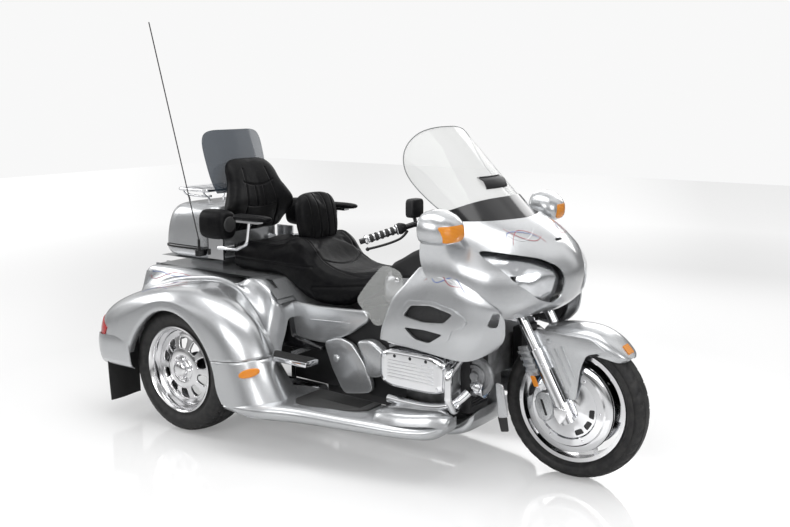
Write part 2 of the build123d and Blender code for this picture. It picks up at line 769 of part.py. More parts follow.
with BuildPart() as luggage_rack:
    for x in (-440, -360, -280):
        with Locations((fwd(x), 0, 1120)):
            Box(14, 320, 8)
    for side in (1, -1):
        with Locations((fwd(-350), side * 160, 1120)):
            Box(220, 14, 14)
        for x in (-420, -290):
            with Locations((fwd(x), side * 160, 1086)):
                Cylinder(6, 62)
save(luggage_rack, "luggage_rack")

with BuildPart() as passenger_backrest:
    with BuildSketch(Plane.XZ.offset(200)):
        with BuildLine():
            Polyline(
                (fwd(box_front) + seat_gap, 905), (fwd(-10), 985), (fwd(-10), 1268), (fwd(box_front) + seat_gap, 1289),
                close=True,
            )
        make_face()
    extrude(amount=-400)
save(passenger_backrest, "passenger_backrest")

with BuildPart() as rear_shield:
    with Locations((fwd(box_front) - 2.5, 0, 1270)):
        Box(5, 430, 320)
save(rear_shield, "rear_shield")

with BuildPart() as speaker_pods:
    for side in (1, -1):
        with Locations((fwd(-15), side * (box_half + 62), 980)):
            Box(170, 110, 150)
save(speaker_pods, "speaker_pods")

armrest_z = 1015.0
with BuildPart() as armrests:
    for side in (1, -1):
        with Locations((fwd(235), side * 330, armrest_z + 15)):
            Box(230, 70, 30)
save(armrests, "armrests")

# Chrome brackets of the speaker pods and the armrests
arm_path = [(-60, -270, 850), (100, -300, 862), (195, -328, 900), (215, -330, 1005)]
with BuildPart() as arm_brackets:
    with BuildLine():
        FilletPolyline(*[(fwd(x), y, z) for x, y, z in arm_path], radius=40)
    with BuildSketch(Plane(origin=(fwd(-60), -270, 850), z_dir=(160, -30, 12))):
        Circle(9)
    sweep()
    with Locations((fwd(-90), -box_half - 5, 790)):
        Box(110, 10, 905 - 790, align=(Align.CENTER, Align.CENTER, Align.MIN))
    with Locations((fwd(215), -330, armrest_z - 5)):
        Box(140, 40, 10)
    mirror(about=Plane.XZ)
save(arm_brackets, "arm_brackets")

with BuildPart() as antenna:
    with Locations((fwd(-180), -box_half - 25, 815)):
        Box(30, 50, 30)
    with Locations((fwd(-178), -box_half - 38, 828)):
        Cylinder(7, 58, align=(Align.CENTER, Align.CENTER, Align.MIN))
    with Locations(Plane(origin=(fwd(-177), -box_half - 38, 880), z_dir=(-308, 0, 1086))):
        Cylinder(3, 1132, align=(Align.CENTER, Align.CENTER, Align.MIN))
save(antenna, "antenna")

# Fork: two legs, the clamps and the stem, and the axle through the hub
leg_y = 118.0
leg_radius = 28.0
clamp_gap = 5.0
with BuildPart() as fork:
    for side in (1, -1):
        with Locations(Plane(origin=on_stem(wheel_s - 55, leg_ahead, side * leg_y), z_dir=stem_dir)):
            Cylinder(leg_radius, 330, align=(Align.CENTER, Align.CENTER, Align.MIN))
            Cylinder(22, head_high + 95 - wheel_s, align=(Align.CENTER, Align.CENTER, Align.MIN))
    for s in (head_low - clamp_gap - 36, head_high + clamp_gap):
        with Locations(Plane(origin=on_stem(s), x_dir=(rake_cos, 0, rake_sin), z_dir=stem_dir)):
            with Locations((leg_ahead / 2 + 4, 0, 18)):
                Box(leg_ahead + 64, 2 * leg_y + 60, 36)
    with Locations(Plane(origin=on_stem(head_low - clamp_gap - 36), z_dir=stem_dir)):
        Cylinder(stem_radius, head_high - head_low + 2 * clamp_gap + 72, align=(Align.CENTER, Align.CENTER, Align.MIN))
    with Locations(Plane(origin=front_centre, z_dir=(0, 1, 0))):
        Cylinder(front_axle_radius, 2 * leg_y)
save(fork, "fork")

# Handlebar on two risers
bar_x = -493.0
bar_z = 1000.0
bar_path = [(-829, -420, 992), (-673, -235, 1060), (-553, -125, 1045), (bar_x, -80, bar_z), (bar_x, 0, bar_z)]
riser_foot = on_stem(head_high + clamp_gap + 36, -4)
riser_dir = (fore(bar_x) - riser_foot[0], 0, bar_z - riser_foot[2])
with BuildPart() as handlebar:
    with BuildLine():
        FilletPolyline(*[(fore(x), y, z) for x, y, z in bar_path], radius=30)
    with BuildSketch(Plane(origin=(fore(-829), -420, 992), z_dir=(156, 185, 68))):
        Circle(12)
    sweep()
    with Locations(Plane(origin=(riser_foot[0], -55, riser_foot[2]), z_dir=riser_dir)):
        Cylinder(17, 108, align=(Align.CENTER, Align.CENTER, Align.MIN))
        Cylinder(17, 12, align=(Align.CENTER, Align.CENTER, Align.MAX))
    mirror(about=Plane.XZ)
    add(fork.part, mode=Mode.SUBTRACT)
save(handlebar, "handlebar")

# Front fender: a crowned blade over the tyre with a plate down the front of each fork leg
fender_half = 100.0
plate_thick = 8.0
fender_skin = 6.0
with BuildPart() as front_fender:
    with BuildSketch(Plane.XZ.offset(fender_half)):
        with BuildLine():
            a = ThreePointArc(
                (fore(-118), 655), (fore(60), 672), (fore(250), 560),
            )
            Line(a @ 1, (fore(240), 556))
            b = ThreePointArc(
                (fore(240), 556), (fore(58), 666), (fore(-118), 649),
            )
            Line(b @ 1, a @ 0)
        make_face()
    extrude(amount=-2 * fender_half)
    with BuildSketch(Plane.XZ.offset(fender_half)):
        with BuildLine():
            Polyline(
                (fore(-113), 652), (fore(-171), 640), (fore(-20), 370), (fore(49), 362), (fore(55), 520), (fore(87), 575),
                (fore(207), 590), (fore(117), 650), (fore(57), 668), close=True,
            )
        make_face()
    extrude(amount=-plate_thick)
    mirror(about=Plane.XZ)
    add(fork.part, mode=Mode.SUBTRACT)
save(front_fender, "front_fender")

with BuildPart() as disc_covers:
    for side in (1, -1):
        with Locations(Plane(origin=(front_centre[0], side * 75, front_tyre_radius), z_dir=(0, 1, 0))):
            Cylinder(150, 26)
    add(fork.part, mode=Mode.SUBTRACT)
save(disc_covers, "disc_covers")
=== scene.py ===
import json
import math
from contextlib import contextmanager

import bmesh
import bpy
import numpy as np
from mathutils import Matrix, Vector


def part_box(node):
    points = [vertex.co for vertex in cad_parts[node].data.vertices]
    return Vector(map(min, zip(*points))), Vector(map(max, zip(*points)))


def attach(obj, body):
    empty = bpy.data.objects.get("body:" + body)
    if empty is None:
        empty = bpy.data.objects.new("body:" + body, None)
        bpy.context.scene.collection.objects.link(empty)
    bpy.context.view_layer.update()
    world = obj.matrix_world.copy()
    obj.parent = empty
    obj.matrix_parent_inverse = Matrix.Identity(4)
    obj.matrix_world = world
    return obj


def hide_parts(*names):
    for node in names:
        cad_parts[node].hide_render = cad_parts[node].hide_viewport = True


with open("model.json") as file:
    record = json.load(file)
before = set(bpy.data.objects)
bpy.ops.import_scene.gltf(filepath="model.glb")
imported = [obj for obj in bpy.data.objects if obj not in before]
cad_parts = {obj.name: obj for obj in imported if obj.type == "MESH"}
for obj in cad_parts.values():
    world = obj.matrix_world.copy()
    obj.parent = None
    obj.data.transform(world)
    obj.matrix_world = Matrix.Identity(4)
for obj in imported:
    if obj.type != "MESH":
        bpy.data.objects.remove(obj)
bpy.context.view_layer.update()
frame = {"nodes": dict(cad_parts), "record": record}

# Studio: a plain pale floor and backdrop, and a camera at standing height ahead of the machine's right side.
# Stations along the machine are counted forward from the rear axle, which stands at axle_x in the frame.
axle_low, axle_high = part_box("rear_axle")
axle_x = (axle_low.x + axle_high.x) / 2
axle_z = (axle_low.z + axle_high.z) / 2


def at(x, y, z):
    """Point at station x, y to the left and z up."""
    return Vector((axle_x + x, y, z))


def placed(name, data):
    """A new object at the origin in the scene."""
    piece = bpy.data.objects.new(name, data)
    bpy.context.scene.collection.objects.link(piece)
    return piece


camera_place = at(3.4535, -3.6442, 1.6272)
camera_azimuth = math.radians(35.68)
camera_elevation = math.radians(10.14)
photo_width = 790
photo_focal = 965
sensor = 36.0
camera_data = bpy.data.cameras.new("photo_view")
camera_data.sensor_width = sensor
camera_data.lens = photo_focal / photo_width * sensor
camera = placed("photo_view", camera_data)
look_back = Vector((
    math.sin(camera_azimuth) * math.cos(camera_elevation),
    -math.cos(camera_azimuth) * math.cos(camera_elevation),
    math.sin(camera_elevation),
))
camera.location = camera_place
camera.rotation_euler = look_back.to_track_quat("Z", "Y").to_euler()
bpy.context.scene.camera = camera
bpy.context.scene.view_settings.view_transform = "Standard"


class Wire:
    """A socket in a material. Python's operators on it add Math nodes."""

    def __init__(self, tree, socket):
        self.tree = tree
        self.socket = socket

    def node(self, kind, settings=None, out=0, **inputs):
        """Adds any other node. An input is named, with _ for a space, or is i and its number."""
        made = self.tree.nodes.new(kind)
        for key, value in (settings or {}).items():
            if key == "stops":
                ramp = made.color_ramp
                while len(ramp.elements) < len(value):
                    ramp.elements.new(0.5)
                for element, (place, colour) in zip(ramp.elements, value):
                    element.position = place
                    element.color = (*colour, 1)
            else:
                setattr(made, key, value)
        for key, value in inputs.items():
            numbered = key[0] == "i" and key[1:].isdigit()
            socket = made.inputs[int(key[1:])] if numbered else made.inputs[key.replace("_", " ")]
            if isinstance(value, Wire):
                self.tree.links.new(value.socket, socket)
            else:
                socket.default_value = value
        return Wire(self.tree, made.outputs[out])

    def math(self, operation, *values):
        return self.node(
            "ShaderNodeMath", {"operation": operation}, **{f"i{n}": v for n, v in enumerate(values)}
        )

    def __add__(self, other):
        return self.math("ADD", self, other)

    __radd__ = __add__

    def __mul__(self, other):
        return self.math("MULTIPLY", self, other)

    __rmul__ = __mul__

    def __sub__(self, other):
        return self.math("SUBTRACT", self, other)

    def __rsub__(self, other):
        return self.math("SUBTRACT", other, self)

    def noise(self, scale, **more):
        return self.node("ShaderNodeTexNoise", Vector=self, Scale=scale, **more)

    def cells(self, scale, feature="F1"):
        return self.node("ShaderNodeTexVoronoi", {"feature": feature}, Vector=self, Scale=scale)

    def bump(self, strength, distance, **more):
        """A normal raised where this value is high."""
        return self.node("ShaderNodeBump", Height=self, Strength=strength, Distance=distance, **more)

    def within(self, low, high):
        """0 below low, 1 above high, and a straight ramp between."""
        return self.node("ShaderNodeMapRange", i0=self, i1=low, i2=high)

    def tint(self, low, high):
        """A colour between low and high."""
        return self.node(
            "ShaderNodeMix", {"data_type": "RGBA"}, out=2, Factor=self, i6=(*low, 1), i7=(*high, 1),
        )


def new_finish(name, colour, **sockets):
    """A material of one colour. Returns it with the wire that its patterns start from."""
    finish = bpy.data.materials.new(name)
    finish.use_nodes = True
    tree = finish.node_tree
    shader = tree.nodes["Principled BSDF"]
    shader.inputs["Base Color"].default_value = (*colour, 1)
    for key, value in sockets.items():
        shader.inputs[key.replace("_", " ")].default_value = value
    place = tree.nodes.new("ShaderNodeTexCoord")
    return finish, Wire(tree, place.outputs["Object"])


def feed(finish, **wires):
    """Connects wires to the material's main shader by socket name."""
    tree = finish.node_tree
    for key, wire in wires.items():
        tree.links.new(wire.socket, tree.nodes["Principled BSDF"].inputs[key.replace("_", " ")])


floor_colour = 0.8
floor_finish, spot = new_finish("studio_floor", (floor_colour,) * 3, Roughness=0.07, Specular_IOR_Level=0.55)
floor_rays = floor_finish.node_tree.nodes.new("ShaderNodeLightPath")
floor_seen = Wire(floor_finish.node_tree, floor_rays.outputs["Is Camera Ray"])
near_shine, far_shine = 0.22, 0.62
floor_distance = spot.node("ShaderNodeVectorMath", {"operation": "LENGTH"}, out=1, i0=spot)
floor_glow = floor_seen * (floor_distance.within(2.5, 8.0) * (far_shine - near_shine) + near_shine)
feed(floor_finish, Emission_Color=floor_glow.tint((0, 0, 0), (1, 1, 1)))
floor_finish.node_tree.nodes["Principled BSDF"].inputs["Emission Strength"].default_value = 1.0
mist = bpy.data.worlds.new("studio_white")
bpy.context.scene.world = mist
mist.use_nodes = True
sky = mist.node_tree.nodes["Background"]
sky.inputs["Color"].default_value = (1, 1, 1, 1)
world_rays = mist.node_tree.nodes.new("ShaderNodeLightPath")
seen = Wire(mist.node_tree, world_rays.outputs["Is Camera Ray"])
mirrored = Wire(mist.node_tree, world_rays.outputs["Is Glossy Ray"])
passed = Wire(mist.node_tree, world_rays.outputs["Is Transmission Ray"])
world_light = 0.42
shown_light = 0.94
glossy_light = 1.25
clear_way = seen.math("MAXIMUM", seen, passed)
# polished pieces mirror a room of soft light and dark patches, darker near the floor
room_place = mist.node_tree.nodes.new("ShaderNodeTexCoord")
room = Wire(mist.node_tree, room_place.outputs["Generated"])
patches = room.noise(2.1, Detail=1.5).within(0.4, 0.6)
up = room.node("ShaderNodeSeparateXYZ", out=2, Vector=room)
room_light = (patches * 0.72 + 0.28) * (up.within(-0.05, 0.55) * 0.75 + 0.25) * glossy_light
glow = clear_way * (shown_light - world_light) + mirrored * (room_light - world_light) + world_light
mist.node_tree.links.new(glow.socket, sky.inputs["Strength"])

floor_mesh = bpy.data.meshes.new("studio_floor")
reach = 14.0
floor_mesh.from_pydata(
    [(-reach, -reach, 0), (reach, -reach, 0), (reach, reach, 0), (-reach, reach, 0)], [], [(0, 1, 2, 3)],
)
floor_mesh.materials.append(floor_finish)
studio_floor = placed("studio_floor", floor_mesh)

# name, place, aimed at, width, height, watts
studio_lamps = [
    ("overhead", (0.2, -0.4, 4.2), (0.0, 0.0, 0.5), 4.2, 2.6, 95),
    ("right_side", (0.8, -4.2, 2.2), (0.1, 0.0, 0.6), 3.4, 1.6, 62),
    ("front", (4.6, -0.6, 2.0), (0.6, 0.0, 0.7), 2.2, 1.8, 40),
    ("left_side", (-0.6, 4.0, 2.4), (0.0, 0.0, 0.6), 3.4, 1.6, 45),
    ("rear", (-4.2, -1.6, 2.4), (-0.6, 0.0, 0.6), 2.0, 1.6, 32),
]
for lamp_name, place, aim, wide, tall, watts in studio_lamps:
    lamp_data = bpy.data.lights.new(lamp_name, "AREA")
    lamp_data.shape = "RECTANGLE"
    lamp_data.size = wide
    lamp_data.size_y = tall
    lamp_data.energy = watts
    lamp = placed(lamp_name, lamp_data)
    lamp.location = place
    lamp.rotation_euler = (Vector(place) - Vector(aim)).to_track_quat("Z", "Y").to_euler()


# Tyres: black rubber on the two rear rims and the front one, with grooves cut round and across the tread.
# Each is turned from its section, and the cross grooves sink into the shoulders in step round the wheel.
@contextmanager
def reworked(piece):
    """The piece's mesh opened for editing, and written back after."""
    work = bmesh.new()
    work.from_mesh(piece.data)
    yield work
    work.to_mesh(piece.data)
    work.free()


def raw_mesh(name, vertices, faces):
    mesh = bpy.data.meshes.new(name)
    mesh.from_pydata([tuple(v) for v in vertices], [], faces)
    return placed(name, mesh)


merge_distance = 1e-6


def new_mesh(name, vertices, faces, smooth=True):
    """An object at the origin with its place in its mesh, doubles merged and faces outward."""
    piece = raw_mesh(name, vertices, faces)
    with reworked(piece) as work:
        bmesh.ops.remove_doubles(work, verts=work.verts, dist=merge_distance)
        bmesh.ops.recalc_face_normals(work, faces=work.faces)
        for face in work.faces:
            face.smooth = smooth
    return piece


def grid_faces(rows, columns, wrap_rows=False, wrap_columns=False):
    """Quads between the points of a grid laid out row after row."""
    faces = []
    for i in range(rows if wrap_rows else rows - 1):
        for j in range(columns if wrap_columns else columns - 1):
            i2 = (i + 1) % rows
            j2 = (j + 1) % columns
            faces.append((i * columns + j, i * columns + j2, i2 * columns + j2, i2 * columns + j))
    return faces


def woven(name, rows, wrap_rows=False, wrap_columns=False):
    """A mesh of quads between rows of points."""
    faces = grid_faces(len(rows), len(rows[0]), wrap_rows, wrap_columns)
    return new_mesh(name, [v for row in rows for v in row], faces)


def through_points(points, steps, knots=None):
    """Points along the natural cubic spline through the given ones, along the first axis of an array."""
    p = np.array(points, float)
    n = len(p)
    if knots is None:
        gaps = np.linalg.norm(np.diff(p, axis=0), axis=-1)
        while gaps.ndim > 1:
            gaps = gaps.mean(axis=1)
        knots = np.concatenate([[0], np.cumsum(np.maximum(gaps, 1e-6))])
    h = np.diff(knots)
    flat = p.reshape(n, -1)
    pull = np.eye(n)
    load = np.zeros_like(flat)
    for i in range(1, n - 1):
        pull[i, i - 1 : i + 2] = h[i - 1], 2 * (h[i - 1] + h[i]), h[i]
        load[i] = 6 * ((flat[i + 1] - flat[i]) / h[i] - (flat[i] - flat[i - 1]) / h[i - 1])
    bend = np.linalg.solve(pull, load)
    out = []
    for i in range(n - 1):
        last = i == n - 2
        for t in np.linspace(0, h[i], steps + 1)[: None if last else -1]:
            a, b = (h[i] - t) / h[i], t / h[i]
            curl = ((a**3 - a) * bend[i] + (b**3 - b) * bend[i + 1]) * h[i] ** 2 / 6
            out.append(a * flat[i] + b * flat[i + 1] + curl)
    return np.array(out).reshape(-1, *p.shape[1:])


def through_rows(rows, steps, across):
    """Grid of points on the smooth surface through rows of points, finer by steps and across."""
    grid = np.swapaxes(through_points(rows, steps), 0, 1)
    return np.swapaxes(through_points(grid, across), 0, 1)


def settle(piece):
    """Turns the piece's modifiers into plain mesh."""
    graph = bpy.context.evaluated_depsgraph_get()
    made = bpy.data.meshes.new_from_object(piece.evaluated_get(graph))
    piece.modifiers.clear()
    piece.data = made
    return piece


def modified(piece, kind, **settings):
    """Adds one of Blender's modifiers with its settings."""
    modifier = piece.modifiers.new(kind.lower(), kind)
    for key, value in settings.items():
        setattr(modifier, key, value)
    return piece


def fit(piece, body, finish, slot, *nodes):
    """Gives the piece its finish, its body and the nodes that it stands for."""
    piece.data.materials.clear()
    piece.data.materials.append(finish)
    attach(piece, body)
    if nodes:
        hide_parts(*nodes)
    return piece


tyre_black, spot = new_finish("tyre_rubber", (0.018, 0.018, 0.019), Roughness=0.62, Specular_IOR_Level=0.35)
dust = spot.noise(38.0, Detail=6.0)
grain = spot.noise(900.0, Detail=2.0)
feed(
    tyre_black,
    Base_Color=dust.within(0.35, 0.75).tint((0.013, 0.013, 0.014), (0.035, 0.034, 0.033)),
    Roughness=dust * 0.25 + 0.42,
    Normal=grain.bump(0.25, 0.0006),
)


def about_axle(centre, turn, profile, side=1):
    """Points of a profile (radius, distance out) at an angle about a wheel's axle."""
    return [
        (centre.x + r * math.cos(turn), centre.y + side * out, centre.z + r * math.sin(turn))
        for r, out in profile
    ]


def tyre(name, centre, outer, lip, width, bead, crown, blocks, groove_rows, depth):
    """Tyre turned about its axle, grooved round at groove_rows and across the shoulders."""
    half = width / 2
    mid = lip + (outer - lip) * 0.52
    side = [
        (lip, bead / 2), (lip + 0.012, half * 0.86), (mid - 0.02, half * 0.985), (mid + 0.004, half),
        (outer - crown - 0.016, half * 0.93), (outer - crown, half * 0.82), (outer - crown * 0.42, half * 0.62),
        (outer - crown * 0.12, half * 0.34), (outer, 0),
    ]
    section = through_points(side + [(r, -y) for r, y in side[-2::-1]], 5)
    wall_line, rim_edge = 0.004, 0.0045
    rows = []
    around = blocks * 6
    for k in range(around):
        turn = 2 * math.pi * k / around
        profile = []
        for radius, y in section:
            share = abs(y) / half
            phase = (k + (6 * share if y > 0 else 6 * share + 3)) % 6
            sunk = 0.0
            if radius > outer - crown - 0.012:
                if phase < 1.3 and 0.3 < share < 0.93:
                    sunk = depth * 0.8
                if any(abs(y - g) < half * 0.035 for g in groove_rows):
                    sunk = depth
            elif abs(radius - (mid + 0.03)) < wall_line:
                sunk = -0.0012
            profile.append((radius - sunk, y))
        # the bead turns in under the rim's lip and closes the ring
        profile += [(lip - rim_edge, -bead / 2), (lip - rim_edge, bead / 2)]
        rows.append(about_axle(centre, turn, profile))
    return shape_edges(woven(name, rows, wrap_rows=True, wrap_columns=True), 40)


def shape_edges(piece, degrees):
    """Smooth shading that breaks at edges sharper than the given angle."""
    with reworked(piece) as work:
        for edge in work.edges:
            edge.smooth = len(edge.link_faces) == 2 and edge.calc_face_angle(0) < math.radians(degrees)
        for face in work.faces:
            face.smooth = True
    return piece


def node_centre(name):
    low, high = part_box(name)
    return (low + high) / 2


wheel_bodies = {"left": "rear_wheel_left", "right": "rear_wheel_right"}
for word, body in wheel_bodies.items():
    low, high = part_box(f"rear_tyre_{word}")
    rear_tyre = tyre(
        f"rear_tyre_{word}_tread", node_centre(f"rear_tyre_{word}"), outer=(high.z - low.z) / 2, lip=0.2115,
        width=high.y - low.y, bead=0.17, crown=0.014, blocks=42, groove_rows=(-0.055, -0.018, 0.018, 0.055),
        depth=0.006,
    )
    fit(rear_tyre, body, tyre_black, "tyre", f"rear_tyre_{word}")
low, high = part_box("front_tyre")
front_tyre = tyre(
    "front_tyre_tread", node_centre("front_tyre"), outer=(high.z - low.z) / 2, lip=0.2435, width=high.y - low.y,
    bead=0.084, crown=0.024, blocks=36, groove_rows=(-0.022, 0.022), depth=0.005,
)
fit(front_tyre, "front_wheel", tyre_black, "tyre", "front_tyre")


# Rear rims: polished alloy, each a deep lip turned with its barrel and a dished disc with ten slots.
# The disc is a polar grid with faces left out for the slots, and a domed cap and five nuts sit on it.
def turned(name, centre, profile, side=-1, around=96):
    """Solid turned about the axle from a profile (radius, distance out). Side says which way is out."""
    rows = [about_axle(centre, 2 * math.pi * k / around, profile, side) for k in range(around)]
    return shape_edges(woven(name, rows, wrap_rows=True, wrap_columns=profile[0][0] > merge_distance), 32)


def joined(name, pieces):
    """One object out of several."""
    for piece in pieces:
        settle(piece)
    mesh = bpy.data.meshes.new(name)
    work = bmesh.new()
    for piece in pieces:
        work.from_mesh(piece.data)
    work.to_mesh(mesh)
    work.free()
    for piece in pieces:
        bpy.data.objects.remove(piece)
    return placed(name, mesh)


def parts_tree(name, shape, counted, spread, spread_kind, turned_out):
    """Geometry Nodes: copies of a part on a circle or a line, for nuts, fins, slats and treads."""
    tree = bpy.data.node_groups.new(name, "GeometryNodeTree")
    face = tree.interface
    face.new_socket("Geometry", in_out="INPUT", socket_type="NodeSocketGeometry")
    for socket, kind in (("Part", "Object"), ("Count", "Int"), (spread, spread_kind), ("Finish", "Material")):
        face.new_socket(socket, in_out="INPUT", socket_type=f"NodeSocket{kind}")
    face.new_socket("Geometry", in_out="OUTPUT", socket_type="NodeSocketGeometry")
    new = tree.nodes.new
    given, result = new("NodeGroupInput"), new("NodeGroupOutput")
    points, part = new(shape), new("GeometryNodeObjectInfo")
    place, real = new("GeometryNodeInstanceOnPoints"), new("GeometryNodeRealizeInstances")
    paint = new("GeometryNodeSetMaterial")
    links = [
        (given, "Count", points, counted), (given, spread, points, spread), (given, "Part", part, "Object"),
        (points, "Mesh", place, "Points"), (part, "Geometry", place, "Instance"),
        (place, "Instances", real, "Geometry"), (real, "Geometry", paint, "Geometry"),
        (given, "Finish", paint, "Material"), (paint, "Geometry", result, "Geometry"),
    ]
    if turned_out:
        where, turn = new("GeometryNodeInputPosition"), new("FunctionNodeAlignEulerToVector")
        turn.axis = "X"
        turn.pivot_axis = "Z"
        links += [(where, "Position", turn, "Vector"), (turn, "Rotation", place, "Rotation")]
    for giver, out, taker, into in links:
        tree.links.new(giver.outputs[out], taker.inputs[into])
    return tree


ring_of_parts = parts_tree("ring_of_parts", "GeometryNodeMeshCircle", "Vertices", "Radius", "Float", True)


def set_inputs(modifier, **values):
    """Sets a node modifier's inputs by name, through each socket's identifier."""
    for item in modifier.node_group.interface.items_tree:
        if item.item_type == "SOCKET" and item.in_out == "INPUT" and item.name in values:
            modifier[item.identifier] = values[item.name]


def repeated(name, tree, part, **sizes):
    """Copies of part that the tree lays out, and part itself removed."""
    holder = modified(placed(name, bpy.data.meshes.new(name)), "NODES", node_group=tree)
    set_inputs(holder.modifiers[0], Part=part, **sizes)
    settle(holder)
    bpy.data.objects.remove(part)
    return holder


def moved(piece, place, way, front="Z", top="Y"):
    """Turns the piece's front axis to way, and carries it to place."""
    turn = Vector(way).to_track_quat(front, top).to_matrix().to_4x4()
    piece.data.transform(Matrix.Translation(place) @ turn)
    return piece


def ring_of(name, part, count, radius, centre, out_dir, finish):
    """Count copies of part round centre, in the plane square to out_dir."""
    ring = repeated(name, ring_of_parts, part, Count=count, Radius=radius, Finish=finish)
    return moved(ring, centre, out_dir)


def nut(radius, height):
    """A domed six-sided nut standing on the XY plane."""
    rings = [
        (radius, 0), (radius, height * 0.6), (radius * 0.82, height * 0.85), (radius * 0.4, height),
        (0, height),
    ]
    corners = [2 * math.pi * k / 6 for k in range(6)]
    rows = [[(r * math.cos(a), r * math.sin(a), z) for r, z in rings] for a in corners]
    return shape_edges(woven("nut", rows, wrap_rows=True), 20)


polished, spot = new_finish("polished_alloy", (0.78, 0.78, 0.79), Metallic=1.0, Roughness=0.12)
swirl = spot.noise(260.0, Detail=3.0)
feed(polished, Roughness=swirl * 0.12 + 0.07, Normal=swirl.bump(0.05, 0.0004))
nut_circle = 0.0525
disc_wall = 0.016
disc_hollow = [
    (0.06, 0.056), (0.082, 0.055), (0.094, 0.052), (0.099, 0.05), (0.125, 0.046), (0.15, 0.041), (0.155, 0.039),
    (0.166, 0.034), (0.186, 0.03),
]
slot_rows = (3, 4)
slot_columns = (2, 3)
sector = (0.0, 0.15, 0.205, 0.5, 0.795, 0.85)
rear_slots = 10
rim_section = [
    (0.211, 0.0925), (0.2105, 0.089), (0.1985, 0.0865), (0.197, 0.07), (0.1915, 0.02), (0.1915, -0.03),
    (0.197, -0.08), (0.1985, -0.087), (0.2105, -0.089), (0.211, -0.093), (0.204, -0.095), (0.19, -0.084),
    (0.184, -0.03), (0.183, 0.025), (0.186, 0.04), (0.19, 0.07), (0.1965, 0.088), (0.205, 0.095),
]
cap_section = [
    (0.0, 0.093), (0.014, 0.0925), (0.026, 0.09), (0.035, 0.085), (0.0405, 0.077), (0.042, 0.066),
    (0.046, 0.062), (0.058, 0.06), (0.0625, 0.056), (0.0625, 0.036), (0.0, 0.036),
]
for word, body in wheel_bodies.items():
    side = 1 if word == "left" else -1
    centre = node_centre(f"rear_tyre_{word}")
    rows = []
    for k in range(rear_slots):
        for share in sector:
            rows.append(about_axle(centre, 2 * math.pi * (k + share) / rear_slots, disc_hollow, side))
    count = len(disc_hollow)
    faces = [
        quad for n, quad in enumerate(grid_faces(len(rows), count, wrap_rows=True))
        if not ((n // (count - 1)) % len(sector) in slot_columns and n % (count - 1) in slot_rows)
    ]
    disc = new_mesh("disc", [v for row in rows for v in row], faces)
    modified(disc, "SOLIDIFY", thickness=disc_wall, offset=0)
    modified(disc, "SUBSURF", levels=2, render_levels=2)
    nut_place = centre + Vector((0, side * 0.059, 0))
    nuts = ring_of("nuts", nut(0.0085, 0.016), 5, nut_circle, nut_place, (0, side, 0), polished)
    rim = joined(f"rear_rim_{word}_alloy", [
        turned("barrel", centre, rim_section, side), disc, turned("cap", centre, cap_section, side), nuts,
    ])
    fit(rim, body, polished, "polished_alloy", f"rear_rim_{word}")


# Rear body: silver-painted fibreglass shell, a tub with a wide wing moulded over each wheel.
# The wing is a spline surface through sections that stand like spokes about the axle, from arch lip to tub.
silver, spot = new_finish("silver_paint", (0.46, 0.47, 0.485), Metallic=0.72, Roughness=0.34, Coat_Weight=1.0)
silver.node_tree.nodes["Principled BSDF"].inputs["Coat Roughness"].default_value = 0.04
flake = spot.cells(2400.0)
drift = spot.noise(3.0, Detail=2.0)
feed(
    silver,
    Base_Color=(flake * 0.55 + drift * 0.45).within(0.15, 0.85).tint((0.42, 0.43, 0.445), (0.58, 0.59, 0.6)),
    Roughness=flake * 0.1 + 0.22,
    Normal=flake.bump(0.04, 0.0003),
)

wing_side = 0.7
wing_crown_y = 0.545
wing_root_y = 0.402
# degrees up from straight ahead, then radius about the axle: lip, crown, root at the tub
wing_spokes = [
    (-12, 0.372, 0.7, 0.63), (-4, 0.335, 0.622, 0.55), (6, 0.324, 0.566, 0.478), (18, 0.319, 0.541, 0.44),
    (33, 0.312, 0.522, 0.424), (47, 0.309, 0.487, 0.424), (61, 0.31, 0.452, 0.43), (76, 0.308, 0.427, 0.42),
    (93, 0.3, 0.411, 0.404), (109, 0.288, 0.412, 0.412), (124, 0.276, 0.437, 0.446), (138, 0.27, 0.482, 0.487),
    (150, 0.27, 0.54, 0.545), (160, 0.274, 0.583, 0.588), (169, 0.28, 0.583, 0.585), (178, 0.286, 0.566, 0.566),
]


def wing_point(turn, radius, y):
    a = math.radians(turn)
    return (radius * math.cos(a), y, axle_z + radius * math.sin(a))


def wing_section(turn, lip, crown, root):
    """Points of one spoke section, from inside the arch lip over the crown to the tub."""
    rise = crown - lip
    return [
        wing_point(turn, lip + 0.006, -wing_side + 0.05), wing_point(turn, lip - 0.001, -wing_side + 0.022),
        wing_point(turn, lip + 0.003, -wing_side + 0.004), wing_point(turn, lip + 0.028, -wing_side),
        wing_point(turn, lip + rise * 0.5, -wing_side + 0.008),
        wing_point(turn, lip + rise * 0.8, -wing_side + 0.04),
        wing_point(turn, lip + rise * 0.96, -wing_side + 0.09), wing_point(turn, crown, -wing_crown_y),
        wing_point(turn, crown * 0.5 + root * 0.5 + 0.004, -(wing_crown_y + wing_root_y) / 2),
        wing_point(turn, root, -wing_root_y),
    ]


wing_steps = 6
wing_grid = through_rows([wing_section(*spoke) for spoke in wing_spokes], wing_steps, wing_steps)


def face_outward(work, inside):
    """Turns all faces over where most of them look towards the point inside."""
    work.normal_update()
    lean = sum(f.normal.dot(f.calc_center_median() - at(*inside)) * f.calc_area() for f in work.faces)
    if lean < 0:
        bmesh.ops.reverse_faces(work, faces=work.faces)
        work.normal_update()


